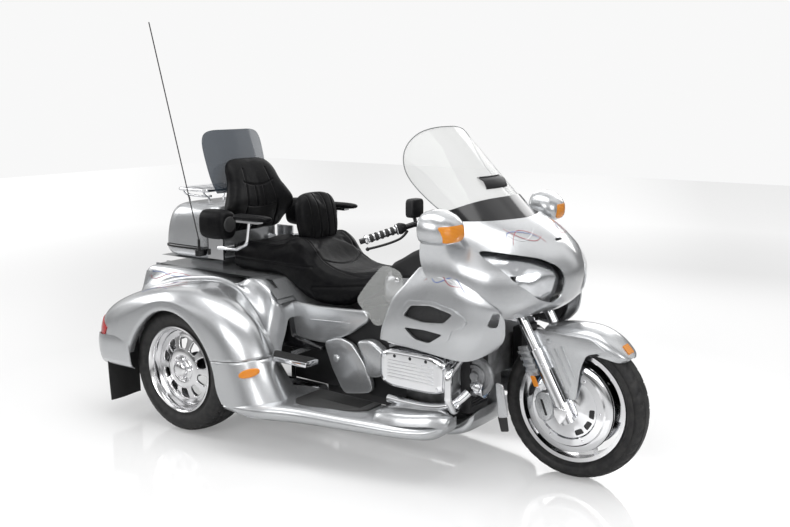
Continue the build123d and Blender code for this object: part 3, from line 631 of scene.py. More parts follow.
def shell(name, grid, inside, wall, mirrored=True, lift=0.0):
    """A wall thick piece of surface through a grid of points, thickened towards the point inside."""
    rows, columns = grid.shape[:2]
    piece = raw_mesh(name, [at(*p) for p in grid.reshape(-1, 3)], grid_faces(rows, columns))
    with reworked(piece) as work:
        bmesh.ops.remove_doubles(work, verts=work.verts, dist=merge_distance)
        face_outward(work, inside)
        for v in work.verts:
            v.co += v.normal * lift
        for face in work.faces:
            face.smooth = True
    settle(modified(piece, "SOLIDIFY", thickness=wall, offset=-1, use_even_offset=False))
    shape_edges(piece, 50)
    return both_sides(piece) if mirrored else piece


def everything(work):
    return work.faces[:] + work.verts[:] + work.edges[:]


def both_sides(piece):
    """Adds the piece's image across the machine's middle plane."""
    with reworked(piece) as work:
        copy = bmesh.ops.duplicate(work, geom=everything(work))["geom"]
        for element in copy:
            if isinstance(element, bmesh.types.BMVert):
                element.co.y = -element.co.y
        bmesh.ops.reverse_faces(work, faces=[g for g in copy if isinstance(g, bmesh.types.BMFace)])
    return piece


def trimmed(piece, point, normal):
    """Cuts away what lies on the normal's side of a plane, and leaves the cut closed."""
    with reworked(piece) as work:
        cut = bmesh.ops.bisect_plane(
            work, geom=everything(work), plane_co=at(*point), plane_no=normal, clear_outer=True,
            dist=merge_distance,
        )
        edges = [g for g in cut["geom_cut"] if isinstance(g, bmesh.types.BMEdge)]
        bmesh.ops.holes_fill(work, edges=edges)
    return piece


def eased(node, name, width, keep_within=None):
    """A copy of a CAD node with its flat faces whole again and its edges rounded."""
    piece = placed(name, bpy.data.meshes.new(name))
    work = bmesh.new()
    work.from_mesh(frame["nodes"][node].data)
    bmesh.ops.remove_doubles(work, verts=work.verts, dist=1e-5)
    if keep_within:
        dropped = [f for f in work.faces if not keep_within(f.calc_center_median())]
        bmesh.ops.delete(work, geom=dropped, context="FACES")
    bmesh.ops.dissolve_limit(work, angle_limit=math.radians(1), verts=work.verts, edges=work.edges)
    work.to_mesh(piece.data)
    work.free()
    if width:
        bevelled(piece, width, 2, 35)
    return shape_edges(settle(piece), 40)


def bevelled(piece, width, segments, degrees):
    """Rounds the edges that are sharper than the given angle."""
    modified(
        piece, "BEVEL", width=width, segments=segments, limit_method="ANGLE", angle_limit=math.radians(degrees),
    )
    return settle(piece)


seam_low = (0.25, 0, 0.414)
seam_tilt = Vector((-0.1, 0, 1)).normalized()
seam_half = 0.0016
inside_wing = (0.0, -0.5, 0.36)
wing = shell("wing", wing_grid, inside_wing, 0.005)
trimmed(wing, Vector(seam_low) + seam_tilt * seam_half, -seam_tilt)
tub_half = 0.3922
tub = eased("rear_body", "tub", 0.0, lambda p: abs(p.y) < tub_half)
# the deck's shoulder: station, its height, height of the valley where the wing meets it
shoulder_line = [
    (-0.546, 0.59, 0.52), (-0.534, 0.66, 0.545), (-0.515, 0.706, 0.56), (-0.49, 0.726, 0.575),
    (-0.457, 0.731, 0.588), (-0.33, 0.735, 0.645), (-0.2, 0.733, 0.684), (-0.07, 0.723, 0.704),
    (0.035, 0.71, 0.714), (0.124, 0.703, 0.708), (0.172, 0.72, 0.694), (0.215, 0.739, 0.672),
    (0.255, 0.741, 0.642), (0.3, 0.727, 0.598), (0.35, 0.695, 0.536), (0.392, 0.655, 0.468),
    (0.414, 0.615, 0.43), (0.424, 0.56, 0.42),
]
stations, _, valleys = np.array(shoulder_line).T


def under_shoulder(p):
    """Whether the rolled shoulder stands in place of this part of the tub."""
    x, y = p.x - axle_x, abs(p.y)
    low = np.interp(x, stations, valleys) - 0.03
    return (y > 0.355 and p.z > low) or (y > 0.3 and p.z > 0.7) or (x > 0.41 and y > 0.24 and p.z > 0.42)


def without(piece, unwanted):
    """Drops faces for which unwanted holds, after cutting the piece into 20 mm cells."""
    cell = 0.02
    spans = [(0, axle_x - 0.56, axle_x + 0.52), (2, 0.42, 0.75)]
    planes = [(axis, place) for axis, low, high in spans for place in np.arange(low, high, cell)]
    planes += [(1, place) for place in (-0.355, -0.3, -0.24, 0.24, 0.3, 0.355)]
    with reworked(piece) as work:
        for axis, place in planes:
            point, normal = Vector(), Vector()
            point[axis], normal[axis] = place, 1
            bmesh.ops.bisect_plane(
                work, geom=work.faces[:] + work.edges[:] + work.verts[:], plane_co=point, plane_no=normal,
            )
        dropped = [face for face in work.faces if unwanted(face.calc_center_median())]
        bmesh.ops.delete(work, geom=dropped, context="FACES")
    return piece


without(tub, under_shoulder)
shoulder_rows = []
for x, z, low in shoulder_line:
    run = 0.0 if x < 0.4 else (x - 0.4) * 2.2
    out = 0.352 - run
    shoulder_rows.append([
        (x, -0.235, z - 0.004), (x, -out + 0.06, z - 0.001), (x, -out + 0.022, z),
        (x, -out + 0.007, z - 0.003), (x, -out - 0.002, z - 0.012),
        (x, -out - 0.009, z - 0.012 - 0.15 * max(0.0, z - low)), (x, -out - 0.024, low * 0.5 + z * 0.5 - 0.006),
        (x, -out - 0.044, low + 0.02), (x, -0.404 + run, low - 0.016),
    ])
shoulder_grid = through_rows(shoulder_rows, 4, 3)
shoulders = shell("shoulders", shoulder_grid, (0.0, 0.0, 0.5), 0.004)
rear_shell = joined("rear_body_shell", [wing, tub, shoulders])
fit(rear_shell, "chassis", silver, "silver_paint", "rear_body")


# Running boards and the skirts ahead of the wheels: silver fibreglass, lofted along the machine.
# The skirt is the lower front of the wing's own surface, below the split line.
skirt = shell("skirt", wing_grid[: 5 * wing_steps], inside_wing, 0.005)
trimmed(skirt, Vector(seam_low) - seam_tilt * seam_half, seam_tilt)
trimmed(skirt, (0, 0, 0.196), (0, 0, -1))
# station, inner y, outer y, top z, low z
board_stations = [
    (0.372, -0.335, -0.69, 0.236, 0.196), (0.46, -0.335, -0.7, 0.248, 0.192),
    (0.56, -0.335, -0.698, 0.258, 0.19), (0.7, -0.335, -0.652, 0.262, 0.19), (0.9, -0.335, -0.603, 0.256, 0.19),
    (1.12, -0.335, -0.56, 0.252, 0.191), (1.29, -0.335, -0.512, 0.25, 0.192),
    (1.37, -0.34, -0.462, 0.262, 0.205), (1.405, -0.35, -0.42, 0.285, 0.24),
]


def board_ring(x, y_in, y_out, top, low):
    high = top - low
    return [
        (x, y_in, low), (x, y_in, top), (x, (y_in + y_out) / 2, top), (x, y_out + 0.05, top),
        (x, y_out + 0.018, top - 0.004), (x, y_out + 0.003, top - 0.016), (x, y_out, top - high * 0.45),
        (x, y_out + 0.01, top - high * 0.8), (x, y_out + 0.035, low),
    ]


def lofted(name, rings, steps=4, mirrored=True, edges=45):
    """A closed body through rings of points, with flat ends."""
    grid = through_points(rings, steps)
    rows, columns = grid.shape[:2]
    faces = grid_faces(rows, columns, wrap_columns=True)
    faces.append(tuple(range(columns)))
    faces.append(tuple((rows - 1) * columns + j for j in range(columns - 1, -1, -1)))
    piece = new_mesh(name, [at(*p) for p in grid.reshape(-1, 3)], faces)
    shape_edges(piece, edges)
    return both_sides(piece) if mirrored else piece


boards = joined("running_boards_shell", [skirt, lofted("boards", [board_ring(*row) for row in board_stations])])
fit(boards, "chassis", silver, "silver_paint", "running_boards")

# Bumper skirt: silver fibreglass across the tail below the split line, round both corners to the wheels.
# plan of its outer face from the wheel to the middle of the tail
bumper_plan = [
    (-0.262, -0.698), (-0.34, -0.7), (-0.43, -0.699), (-0.495, -0.69), (-0.535, -0.655), (-0.553, -0.6),
    (-0.56, -0.5), (-0.5605, -0.3), (-0.561, 0.0),
]
# height, and how far in from the plan
bumper_rise = [(0.426, 0.004), (0.405, 0.0), (0.36, 0.0), (0.315, 0.006), (0.285, 0.02), (0.277, 0.036)]
plan = through_points(bumper_plan, 5)
bumper_rows = []
for x, y in plan:
    pull = Vector((-0.3 - x, -0.3 - y)).normalized() if y < -0.55 else Vector((1, 0))
    bumper_rows.append([
        (x + pull.x * tuck, y + pull.y * tuck, z + 0.022 * max(0.0, (x + 0.56) / 0.3) * (z - 0.27) / 0.15)
        for z, tuck in bumper_rise
    ])
bumper_grid = np.swapaxes(through_points(np.swapaxes(np.array(bumper_rows), 0, 1), 4), 0, 1)
bumper = shell("rear_bumper_skirt", bumper_grid, (-0.3, -0.3, 0.36), 0.006)
fit(bumper, "chassis", silver, "silver_paint", "rear_bumper")


# Fairing nose: silver moulded shell, one spline surface through level sections, each half an ellipse ahead of
# a straight side. The headlamp openings and a small slot above and between them are cut through it.
# height, nose tip, half width, where the side turns, rear edge
nose_rows = [
    (0.724, 1.688, 0.35, 1.56, 1.47), (0.76, 1.734, 0.385, 1.52, 1.42), (0.82, 1.76, 0.403, 1.48, 1.34),
    (0.89, 1.768, 0.412, 1.43, 1.28), (0.94, 1.748, 0.405, 1.395, 1.255), (0.985, 1.712, 0.388, 1.365, 1.24),
    (1.03, 1.66, 0.368, 1.34, 1.235), (1.07, 1.596, 0.345, 1.32, 1.24), (1.1, 1.535, 0.322, 1.3, 1.25),
]


def nose_row(z, tip, half, side_x, rear_x):
    row = [(rear_x, -half, z), ((rear_x + side_x) / 2, -half, z)]
    turns = 12
    for k in range(turns + 1):
        a = math.pi * (k / turns - 0.5)
        ridge = 0.012 * math.exp(-((a / 0.22) ** 2))
        row.append((side_x + (tip - side_x) * math.cos(a) ** 0.92 + ridge - 0.006, half * math.sin(a), z))
    row += [((rear_x + side_x) / 2, half, z), (rear_x, half, z)]
    return row


nose_grid = through_rows([nose_row(*row) for row in nose_rows], 5, 4)
inside_nose = (1.35, 0.0, 0.9)


def prism(name, outline, axis, low, high, mirrored=True):
    """Cutting block: an outline of two coordinates run from low to high along axis x or y."""
    def place(a, b, c):
        return at(c, a, b) if axis == "x" else at(a, c, b)

    n = len(outline)
    vertices = [place(a, b, low) for a, b in outline] + [place(a, b, high) for a, b in outline]
    faces = [(i, (i + 1) % n, n + (i + 1) % n, n + i) for i in range(n)]
    faces += [tuple(range(n)), tuple(range(2 * n - 1, n - 1, -1))]
    piece = new_mesh(name, vertices, faces, smooth=False)
    return both_sides(piece) if mirrored else piece


def cut(piece, tool, operation="DIFFERENCE"):
    """Cuts the piece with a block, which is then removed."""
    settle(modified(piece, "BOOLEAN", operation=operation, object=tool, solver="EXACT"))
    bpy.data.objects.remove(tool)
    return piece


def rounded(outline, radius, steps=4):
    """The outline's corners turned into arcs of about the given radius."""
    out = []
    n = len(outline)
    for i in range(n):
        p0, p1, p2 = (Vector(outline[(i + k) % n]) for k in (-1, 0, 1))
        a = p1 + (p0 - p1).normalized() * min(radius, (p0 - p1).length * 0.45)
        b = p1 + (p2 - p1).normalized() * min(radius, (p2 - p1).length * 0.45)
        for k in range(steps + 1):
            t = k / steps
            out.append(tuple(a * (1 - t) ** 2 + p1 * 2 * t * (1 - t) + b * t * t))
    return out


lamp_outline = [
    (-0.086, 0.87), (-0.108, 0.922), (-0.18, 0.96), (-0.352, 1.0), (-0.36, 0.966), (-0.318, 0.876),
    (-0.22, 0.798), (-0.13, 0.77), (-0.092, 0.79),
]
lamp_corner = 0.022
lamp_reach = (1.3, 1.85)
lens_outline = [(y * 0.99 - 0.002, (z - 0.88) * 0.98 + 0.88) for y, z in lamp_outline]
nose = shell("fairing_nose", nose_grid, inside_nose, 0.006, mirrored=False)
cut(nose, prism("lamp_hole", rounded(lamp_outline, lamp_corner), "x", *lamp_reach))
slot_outline = rounded([(-0.03, 1.012), (0.03, 1.012), (0.026, 1.022), (-0.026, 1.022)], 0.004)
cut(nose, prism("nose_slot", slot_outline, "x", 1.55, 1.85, mirrored=False))
nose_liner = shell("nose_liner", nose_grid[:, 6:-6], inside_nose, 0.003, mirrored=False, lift=-0.055)
fit(shape_edges(nose, 42), "chassis", silver, "silver_paint", "fairing")
black_plastic, spot = new_finish("black_plastic", (0.01, 0.01, 0.011), Roughness=0.5, Specular_IOR_Level=0.35)
pebble = spot.cells(700.0)
feed(black_plastic, Roughness=pebble * 0.2 + 0.38, Normal=pebble.bump(0.2, 0.0005))
fit(nose_liner, "chassis", black_plastic, "black_plastic")


# Headlamps: two wrap-round clear lenses cut from the nose's own surface.
# Behind each is a bright housing with two reflector dishes and their bulbs.
lens_clear, spot = new_finish(
    "lamp_glass", (0.93, 0.95, 0.97), Roughness=0.03, Transmission_Weight=1.0, IOR=1.2, Alpha=0.14,
)
ripple = spot.noise(5.0)
feed(lens_clear, Roughness=ripple * 0.05 + 0.01)
lens = shell("headlamp_lenses", nose_grid, inside_nose, 0.003, mirrored=False, lift=-0.001)
cut(lens, prism("lens_edge", rounded(lens_outline, lamp_corner), "x", *lamp_reach), "INTERSECT")
fit(shape_edges(lens, 42), "chassis", lens_clear, "lamp_glass", "headlamps")
chrome, spot = new_finish("chrome", (0.82, 0.83, 0.84), Metallic=1.0, Roughness=0.06)
smear = spot.noise(14.0, Detail=5.0)
feed(chrome, Roughness=smear * 0.07 + 0.025, Base_Color=smear.tint((0.74, 0.75, 0.77), (0.88, 0.88, 0.89)))
housing = shell("lamp_housing", nose_grid, inside_nose, 0.002, mirrored=False, lift=-0.03)
cut(housing, prism("housing_edge", rounded(lamp_outline, lamp_corner), "x", *lamp_reach), "INTERSECT")


def dish(centre, aim, radius, depth):
    """A reflector bowl with its bulb and a shade ring, opening along aim."""
    profile = [
        (0.0, -depth), (radius * 0.3, -depth * 0.94), (radius * 0.62, -depth * 0.68),
        (radius * 0.88, -depth * 0.28), (radius, 0.0), (radius + 0.004, 0.002), (radius + 0.004, -depth * 1.1),
        (0.0, -depth * 1.1),
    ]
    bulb = [
        (0.0, -depth * 0.12), (0.006, -depth * 0.16), (0.0085, -depth * 0.3), (0.0085, -depth), (0.0, -depth),
    ]
    parts = [turned("bowl", Vector(), profile, 1, 48), turned("bulb", Vector(), bulb, 1, 24)]
    return moved(joined("dish", parts), at(*centre), aim, "Y", "Z")


dishes = [
    dish((1.668, -0.15, 0.868), (1, -0.16, 0.02), 0.046, 0.045),
    dish((1.57, -0.25, 0.926), (1, -0.35, 0.05), 0.036, 0.04),
]
bowls = both_sides(joined("headlamp_reflectors", dishes))
reflectors = joined("headlamp_housings", [housing, bowls])
facet, spot = new_finish("lamp_reflector", (0.8, 0.81, 0.83), Metallic=1.0, Roughness=0.1)
cells = spot.cells(17.0, "SMOOTH_F1")
feed(facet, Roughness=cells * 0.1 + 0.05, Normal=cells.bump(0.55, 0.012))
fit(shape_edges(reflectors, 40), "chassis", facet, "chrome")


# Side cowls: silver panels below the nose, one each side, bulged out over the engine, with two vents cut in
# each and black mesh behind them.
# rows from the top edge to the bottom one, each from the rear to the front
cowl_rows = [
    [
        (1.235, -0.383, 0.905), (1.33, -0.383, 0.938), (1.425, -0.393, 0.93), (1.522, -0.398, 0.842),
        (1.606, -0.376, 0.772),
    ],
    [
        (1.17, -0.396, 0.83), (1.28, -0.414, 0.842), (1.4, -0.424, 0.84), (1.512, -0.416, 0.796),
        (1.62, -0.368, 0.75),
    ],
    [
        (1.108, -0.402, 0.754), (1.24, -0.425, 0.757), (1.38, -0.433, 0.754), (1.508, -0.42, 0.738),
        (1.63, -0.358, 0.724),
    ],
    [
        (1.082, -0.406, 0.688), (1.23, -0.431, 0.683), (1.375, -0.438, 0.675), (1.51, -0.42, 0.672),
        (1.63, -0.352, 0.69),
    ],
    [
        (1.058, -0.406, 0.628), (1.222, -0.426, 0.618), (1.375, -0.43, 0.604), (1.505, -0.408, 0.602),
        (1.62, -0.346, 0.64),
    ],
    [
        (1.046, -0.402, 0.574), (1.215, -0.412, 0.562), (1.375, -0.414, 0.548), (1.49, -0.394, 0.546),
        (1.585, -0.34, 0.598),
    ],
]
cowl_grid = through_rows(cowl_rows, 8, 8)
inside_cowl = (1.38, 0.0, 0.72)
vent_outlines = [
    [(1.438, 0.742), (1.33, 0.764), (1.226, 0.752), (1.186, 0.702), (1.29, 0.69), (1.395, 0.7)],
    [(1.392, 0.652), (1.3, 0.66), (1.192, 0.655), (1.248, 0.61), (1.32, 0.604)],
    [(1.592, 0.762), (1.566, 0.7), (1.604, 0.694), (1.618, 0.755)],
]
surround_outline = [
    (1.5, 0.722), (1.44, 0.76), (1.33, 0.784), (1.2, 0.77), (1.15, 0.69), (1.186, 0.668), (1.15, 0.656),
    (1.225, 0.596), (1.33, 0.588), (1.42, 0.63), (1.43, 0.676), (1.484, 0.69),
]
vent_corner = 0.016
cowl_reach = (-0.6, -0.2)
cowl = shell("side_cowl_panels", cowl_grid, inside_cowl, 0.007, mirrored=False)
for outline in vent_outlines:
    cut(cowl, prism("vent", rounded(outline, vent_corner), "y", *cowl_reach, mirrored=False))
surround = shell("surround", cowl_grid, inside_cowl, 0.01, mirrored=False, lift=0.007)
cut(
    surround, prism("surround_edge", rounded(surround_outline, 0.02), "y", *cowl_reach, mirrored=False),
    "INTERSECT",
)
for outline in vent_outlines[:2]:
    cut(surround, prism("vent", rounded(outline, vent_corner), "y", *cowl_reach, mirrored=False))
cowl = joined("side_cowl_panels", [cowl, surround])
bevelled(cowl, 0.0018, 2, 50)
fit(shape_edges(both_sides(cowl), 42), "chassis", silver, "silver_paint", "side_cowls")
vent_net, spot = new_finish("vent_mesh", (0.012, 0.012, 0.013), Roughness=0.55)
cells = spot.cells(210.0, "DISTANCE_TO_EDGE")
feed(
    vent_net, Base_Color=cells.within(0.05, 0.16).tint((0.05, 0.05, 0.053), (0.004, 0.004, 0.004)),
    Normal=(cells.within(0.05, 0.16) * -1.0 + 1.0).bump(0.8, 0.002),
)
net = shell("cowl_vent_mesh", cowl_grid[10:-2, 3:-6], inside_cowl, 0.002, lift=-0.014)
fit(net, "chassis", vent_net, "black_plastic")


# Windscreen: a clear acrylic sheet bent to part of a cone that leans back, with a rounded top and a small
# black vent in its middle; a gloss black band covers its foot.
screen_bend = 0.364
screen_tip = 1.171
screen_foot = 1.075
screen_lean = math.radians(46)
behind_screen = (0.9, 0, 1.1)


def on_screen(y, z, lift=0.0):
    """Point of the sheet's outer face, lifted off it."""
    back = (z - screen_foot) * math.tan(screen_lean)
    out_x, out_y = math.sqrt(screen_bend**2 - y * y) / screen_bend, y / screen_bend
    rise = math.sin(screen_lean) * lift
    flat = math.cos(screen_lean) * lift
    return (screen_tip - back + out_x * (screen_bend + flat), y + out_y * flat, z + rise)


# height in the middle, half width
screen_widths = [
    (1.078, 0.296), (1.12, 0.312), (1.18, 0.322), (1.25, 0.322), (1.32, 0.303), (1.375, 0.27), (1.415, 0.228),
    (1.445, 0.176), (1.462, 0.12), (1.47, 0.066), (1.4725, 0.004),
]
screen_rows = []
for z, half in screen_widths:
    screen_rows.append([on_screen(half * s, z + 0.02 * (half * s / 0.3) ** 2) for s in np.linspace(-1, 1, 15)])
screen_grid = through_points(screen_rows, 5)
clear_sheet, spot = new_finish(
    "clear_screen", (0.6, 0.61, 0.6), Roughness=0.05, Alpha=0.3, Specular_IOR_Level=0.5,
)
haze = spot.noise(9.0)
feed(clear_sheet, Roughness=haze * 0.04 + 0.03)
screen = shell("windscreen_sheet", screen_grid, behind_screen, 0.0045, mirrored=False)
fit(screen, "chassis", clear_sheet, "clear_screen", "windscreen")
edge_line = np.concatenate([screen_grid[:, 0], screen_grid[-1, 1:-1], screen_grid[::-1, -1]])
gloss_black, spot = new_finish("gloss_black", (0.008, 0.008, 0.009), Roughness=0.12)
sheen = spot.noise(20.0)
feed(gloss_black, Roughness=sheen * 0.06 + 0.08)
band_rows = [[on_screen(0.3 * s, z + 0.012 - 0.02 * abs(s) ** 3 * k, 0.006) for s in np.linspace(-1, 1, 25)]
             for k, z in ((0, 1.058), (0.3, 1.08), (0.8, 1.115), (1.6, 1.148), (2.2, 1.166))]
band = shell("windscreen_band", through_points(band_rows, 3), behind_screen, 0.005, mirrored=False)
fit(band, "chassis", gloss_black, "gloss_black", "screen_band")
vent_parts = []
vent_half, vent_low, vent_high = 0.088, 1.214, 1.262
vent_levels = [(vent_low, 0.001), (vent_low + 0.003, 0.006), (vent_high - 0.003, 0.006), (vent_high, 0.001)]
frame_rows = [[on_screen(vent_half * s, z, lift) for s in np.linspace(-1, 1, 9)] for z, lift in vent_levels]
vent_parts.append(shell("vent_frame", through_points(frame_rows, 2), behind_screen, 0.003, mirrored=False))
for n in range(5):
    slat_z = vent_low + 0.008 + n * 0.0085
    slat = [[on_screen((vent_half - 0.008) * s, slat_z + dz, lift) for s in np.linspace(-1, 1, 7)]
            for dz, lift in ((0, 0.006), (0.002, 0.01), (0.005, 0.007))]
    vent_parts.append(shell("slat", np.array(slat), behind_screen, 0.0015, mirrored=False))
fit(joined("windscreen_vent", vent_parts), "chassis", black_plastic, "black_plastic")


# Mirrors: silver housings on short stalks at the fairing's shoulders, with mirror glass behind and an amber
# lens let into the front. Amber side markers sit on the skirts ahead of the rear wheels.
def oval(x, y, z, half_y, half_z, power=2.6, count=20):
    """Rounded-rectangle ring square to the machine's length."""
    ring = []
    for k in range(count):
        a = 2 * math.pi * k / count
        c, s = math.cos(a), math.sin(a)
        ring.append((
            x, y + half_y * math.copysign(abs(c) ** (2 / power), c),
            z + half_z * math.copysign(abs(s) ** (2 / power), s),
        ))
    return ring


pod_stations = [
    (1.338, -0.464, 1.093, 0.086, 0.056), (1.342, -0.464, 1.093, 0.096, 0.065),
    (1.362, -0.463, 1.095, 0.101, 0.07), (1.4, -0.46, 1.092, 0.098, 0.068),
    (1.435, -0.455, 1.086, 0.084, 0.057), (1.458, -0.45, 1.08, 0.06, 0.04),
    (1.468, -0.447, 1.077, 0.034, 0.022), (1.471, -0.446, 1.076, 0.01, 0.006),
]
pod_rings = [oval(*station) for station in pod_stations]
stalk_line = [
    (1.405, -0.345, 0.985, 1.35), (1.405, -0.372, 1.005, 1.25), (1.402, -0.395, 1.035, 1.1),
    (1.398, -0.42, 1.062, 1.0),
]
stalk_rings = []
for x, y, z, grow in stalk_line:
    stalk_rings.append([
        (
            x + 0.036 * grow * math.cos(a), y + 0.016 * grow * math.sin(a) * -0.7,
            z + 0.016 * grow * math.sin(a) * 0.7,
        )
        for a in (2 * math.pi * k / 16 for k in range(16))
    ])
pod = lofted("pod", pod_rings, 4, mirrored=False)
stalk = lofted("stalk", stalk_rings, 3, mirrored=False)
amber_rings = [
    [(x + 0.0018 + (x - 1.4) * 0.01, y + (y + 0.46) * 0.02, z + (z - 1.09) * 0.02) for x, y, z in ring]
    for ring in pod_rings
]
lens_block = rounded([(-0.545, 1.108), (-0.415, 1.108), (-0.405, 1.052), (-0.43, 1.04), (-0.52, 1.04)], 0.014)
pods = joined("mirror_housings", [both_sides(pod), both_sides(stalk)])
fit(pods, "chassis", silver, "silver_paint", "mirrors")
amber, spot = new_finish("amber_lens", (0.95, 0.33, 0.02), Roughness=0.1, Transmission_Weight=0.25)
ribs = spot.node("ShaderNodeTexWave", {"bands_direction": "Z"}, Vector=spot, Scale=60.0)
feed(amber, Base_Color=ribs.tint((0.86, 0.24, 0.012), (1.0, 0.42, 0.04)), Normal=ribs.bump(0.35, 0.001))
amber_front = lofted("amber_front", amber_rings, 4, mirrored=False)
cut(amber_front, prism("lens_part", lens_block, "x", 1.405, 1.5, mirrored=False), "INTERSECT")
marker_rings = []
for out, share in ((0.0, 1.0), (0.006, 1.0), (0.01, 0.86), (0.0115, 0.55)):
    marker_rings.append([
        (0.54 + a * share * 0.96, -0.686 - out + (a * share) * 0.42, 0.402 + b * share + a * 0.3)
        for _, a, b in oval(0, 0, 0, 0.046, 0.02, 2.2, 24)
    ])
markers = lofted("marker", marker_rings, 2, mirrored=False)
ambers = joined("amber_lens_set", [both_sides(amber_front), both_sides(markers)])
fit(shape_edges(ambers, 40), "chassis", amber, "amber_glass", "amber_lenses")
mirror_glass = lofted("mirror_glass", [
    oval(1.3365, -0.464, 1.093, 0.08, 0.05), oval(1.3385, -0.464, 1.093, 0.081, 0.051),
], 1)
fit(mirror_glass, "chassis", chrome, "chrome")


# Seat: black leather over foam, one stepped saddle for two, lofted along the machine, swelled like a stuffed
# cover and then pressed in along its seams.
leather, spot = new_finish("black_leather", (0.005, 0.005, 0.006), Roughness=0.36, Specular_IOR_Level=0.1)
hide = spot.cells(420.0, "SMOOTH_F1")
crease = spot.noise(26.0, Detail=7.0, Roughness=0.6, Distortion=0.8)
bump_low = crease.bump(0.22, 0.006)
feed(
    leather, Base_Color=crease.within(0.3, 0.75).tint((0.002, 0.002, 0.003), (0.008, 0.008, 0.008)),
    Roughness=hide * 0.22 + crease * 0.18 + 0.22,
    Normal=hide.bump(0.35, 0.0008, Normal=bump_low),
)


def stuffed(piece, voxel, cap, pressure=4.0):
    """Swells the closed cover like a filled cushion; no point moves further than cap."""
    settle(modified(piece, "REMESH", mode="VOXEL", voxel_size=voxel, use_smooth_shade=True))
    rest = np.array([v.co for v in piece.data.vertices])
    cloth = piece.modifiers.new("cover", "CLOTH")
    cover_settings = {
        "use_pressure": True, "uniform_pressure_force": pressure, "tension_stiffness": 40,
        "compression_stiffness": 40, "shear_stiffness": 20, "bending_stiffness": 2.0, "quality": 4,
    }
    for key, value in cover_settings.items():
        setattr(cloth.settings, key, value)
    cloth.settings.effector_weights.gravity = 0
    last_frame = 20
    cloth.point_cache.frame_start = 1
    cloth.point_cache.frame_end = last_frame
    for number in range(1, last_frame + 1):
        bpy.context.scene.frame_set(number)
    settle(piece)
    bpy.context.scene.frame_set(1)
    step = np.array([v.co for v in piece.data.vertices]) - rest
    length = np.linalg.norm(step, axis=1, keepdims=True)
    set_points(piece, rest + step * np.minimum(1.0, cap / np.maximum(length, 1e-9)))
    return settle(modified(piece, "SUBSURF", levels=1, render_levels=1))


def set_points(piece, points):
    piece.data.vertices.foreach_set("co", points.astype(np.float32).ravel())
    piece.data.update()
    return piece


def pressed(piece, distance, width, depth):
    """Sinks the surface into a groove where distance, a function of the points, is near 0."""
    points = np.array([v.co for v in piece.data.vertices])
    normals = np.array([v.normal for v in piece.data.vertices])
    local = points - np.array([axle_x, 0, 0])
    sink = depth * np.exp(-((distance(local) / width) ** 2))
    return set_points(piece, points - normals * sink[:, None])


def soft_section(x, half, top, low):
    """Saddle section: flat below, full sides, and a shallow dip between the bolsters."""
    side = [
        (0.55, 0.0), (0.86, 0.01), (0.985, 0.14), (1.02, 0.45), (0.99, 0.74), (0.9, 0.94), (0.74, 1.0),
        (0.5, 0.965), (0.24, 0.94),
    ]
    high = top - low
    ring = [(x, 0, low)] + [(x, half * a, low + high * b) for a, b in side] + [(x, 0, low + high * 0.935)]
    ring += [(x, -half * a, low + high * b) for a, b in side[::-1]]
    return ring


# station, half width, top, underside
saddle = [
    (-0.066, 0.15, 0.842, 0.748), (-0.052, 0.178, 0.856, 0.741), (0.02, 0.205, 0.868, 0.739),
    (0.14, 0.214, 0.868, 0.739), (0.26, 0.216, 0.876, 0.739), (0.33, 0.218, 0.906, 0.712),
    (0.4, 0.22, 0.922, 0.672), (0.455, 0.22, 0.892, 0.65), (0.5, 0.219, 0.838, 0.638),
    (0.56, 0.217, 0.8, 0.632), (0.65, 0.206, 0.78, 0.634), (0.735, 0.18, 0.782, 0.662),
    (0.805, 0.138, 0.796, 0.706), (0.848, 0.096, 0.803, 0.742), (0.862, 0.06, 0.798, 0.76),
]
seat = stuffed(
    lofted("seat_cover", [soft_section(*row) for row in saddle], 5, mirrored=False, edges=80), 0.009, 0.01,
)


def seat_seams(p):
    x, y, z = p[:, 0], np.abs(p[:, 1]), p[:, 2]
    rails = np.where((z > 0.77), np.abs(y - 0.146), 1)
    step = np.where((y < 0.15) & (z > 0.77), np.abs(x - 0.525 - 0.03 * np.cos(y * 12)), 1)
    cross = np.where(
        (y < 0.128) & (z > 0.77),
        np.minimum(np.abs(x - 0.275), np.minimum(np.abs(x - 0.12), np.abs(x - 0.7 + 1.2 * y**2))), 1,
    )
    skirt = np.where(x < 0.5, np.abs(z - 0.8), np.abs(z - 0.705 - 0.1 * (x - 0.5)))
    skirt = np.where(y > 0.12, skirt, 1)
    return np.minimum(np.minimum(rails, step), np.minimum(cross, skirt))


pressed(seat, seat_seams, 0.0048, 0.0052)
shape_edges(seat, 80)
fit(seat, "chassis", leather, "leather", "seat")


# Backrests: black leather pads with sewn channels. The rider's stands on the seat, and the passenger's wide one
# is fixed to the top box's lid and wraps round at the sides.
def cushion_ring(z, x_mid, half_y, half_x, wrap=0.0):
    """Level ring of an upright pad whose sides reach forward by wrap."""
    ring = []
    for k in range(28):
        a = 2 * math.pi * k / 28
        c, s = math.cos(a), math.sin(a)
        y = half_y * math.copysign(abs(c) ** 0.62, c)
        x = x_mid + half_x * math.copysign(abs(s) ** 0.75, s) + wrap * (y / half_y) ** 2 * (0.6 + 0.4 * s)
        ring.append((x, y, z))
    return ring


rider_rings = [
    (0.89, 0.362, 0.082, 0.028), (0.898, 0.362, 0.104, 0.042), (0.935, 0.36, 0.124, 0.05),
    (1.0, 0.353, 0.134, 0.05), (1.058, 0.346, 0.132, 0.047), (1.102, 0.339, 0.118, 0.04),
    (1.122, 0.335, 0.094, 0.03), (1.131, 0.332, 0.055, 0.014),
]
rider_pad = stuffed(
    lofted("rider_back_pad", [cushion_ring(*row, 0.012) for row in rider_rings], 4, mirrored=False, edges=80),
    0.006, 0.006,
)


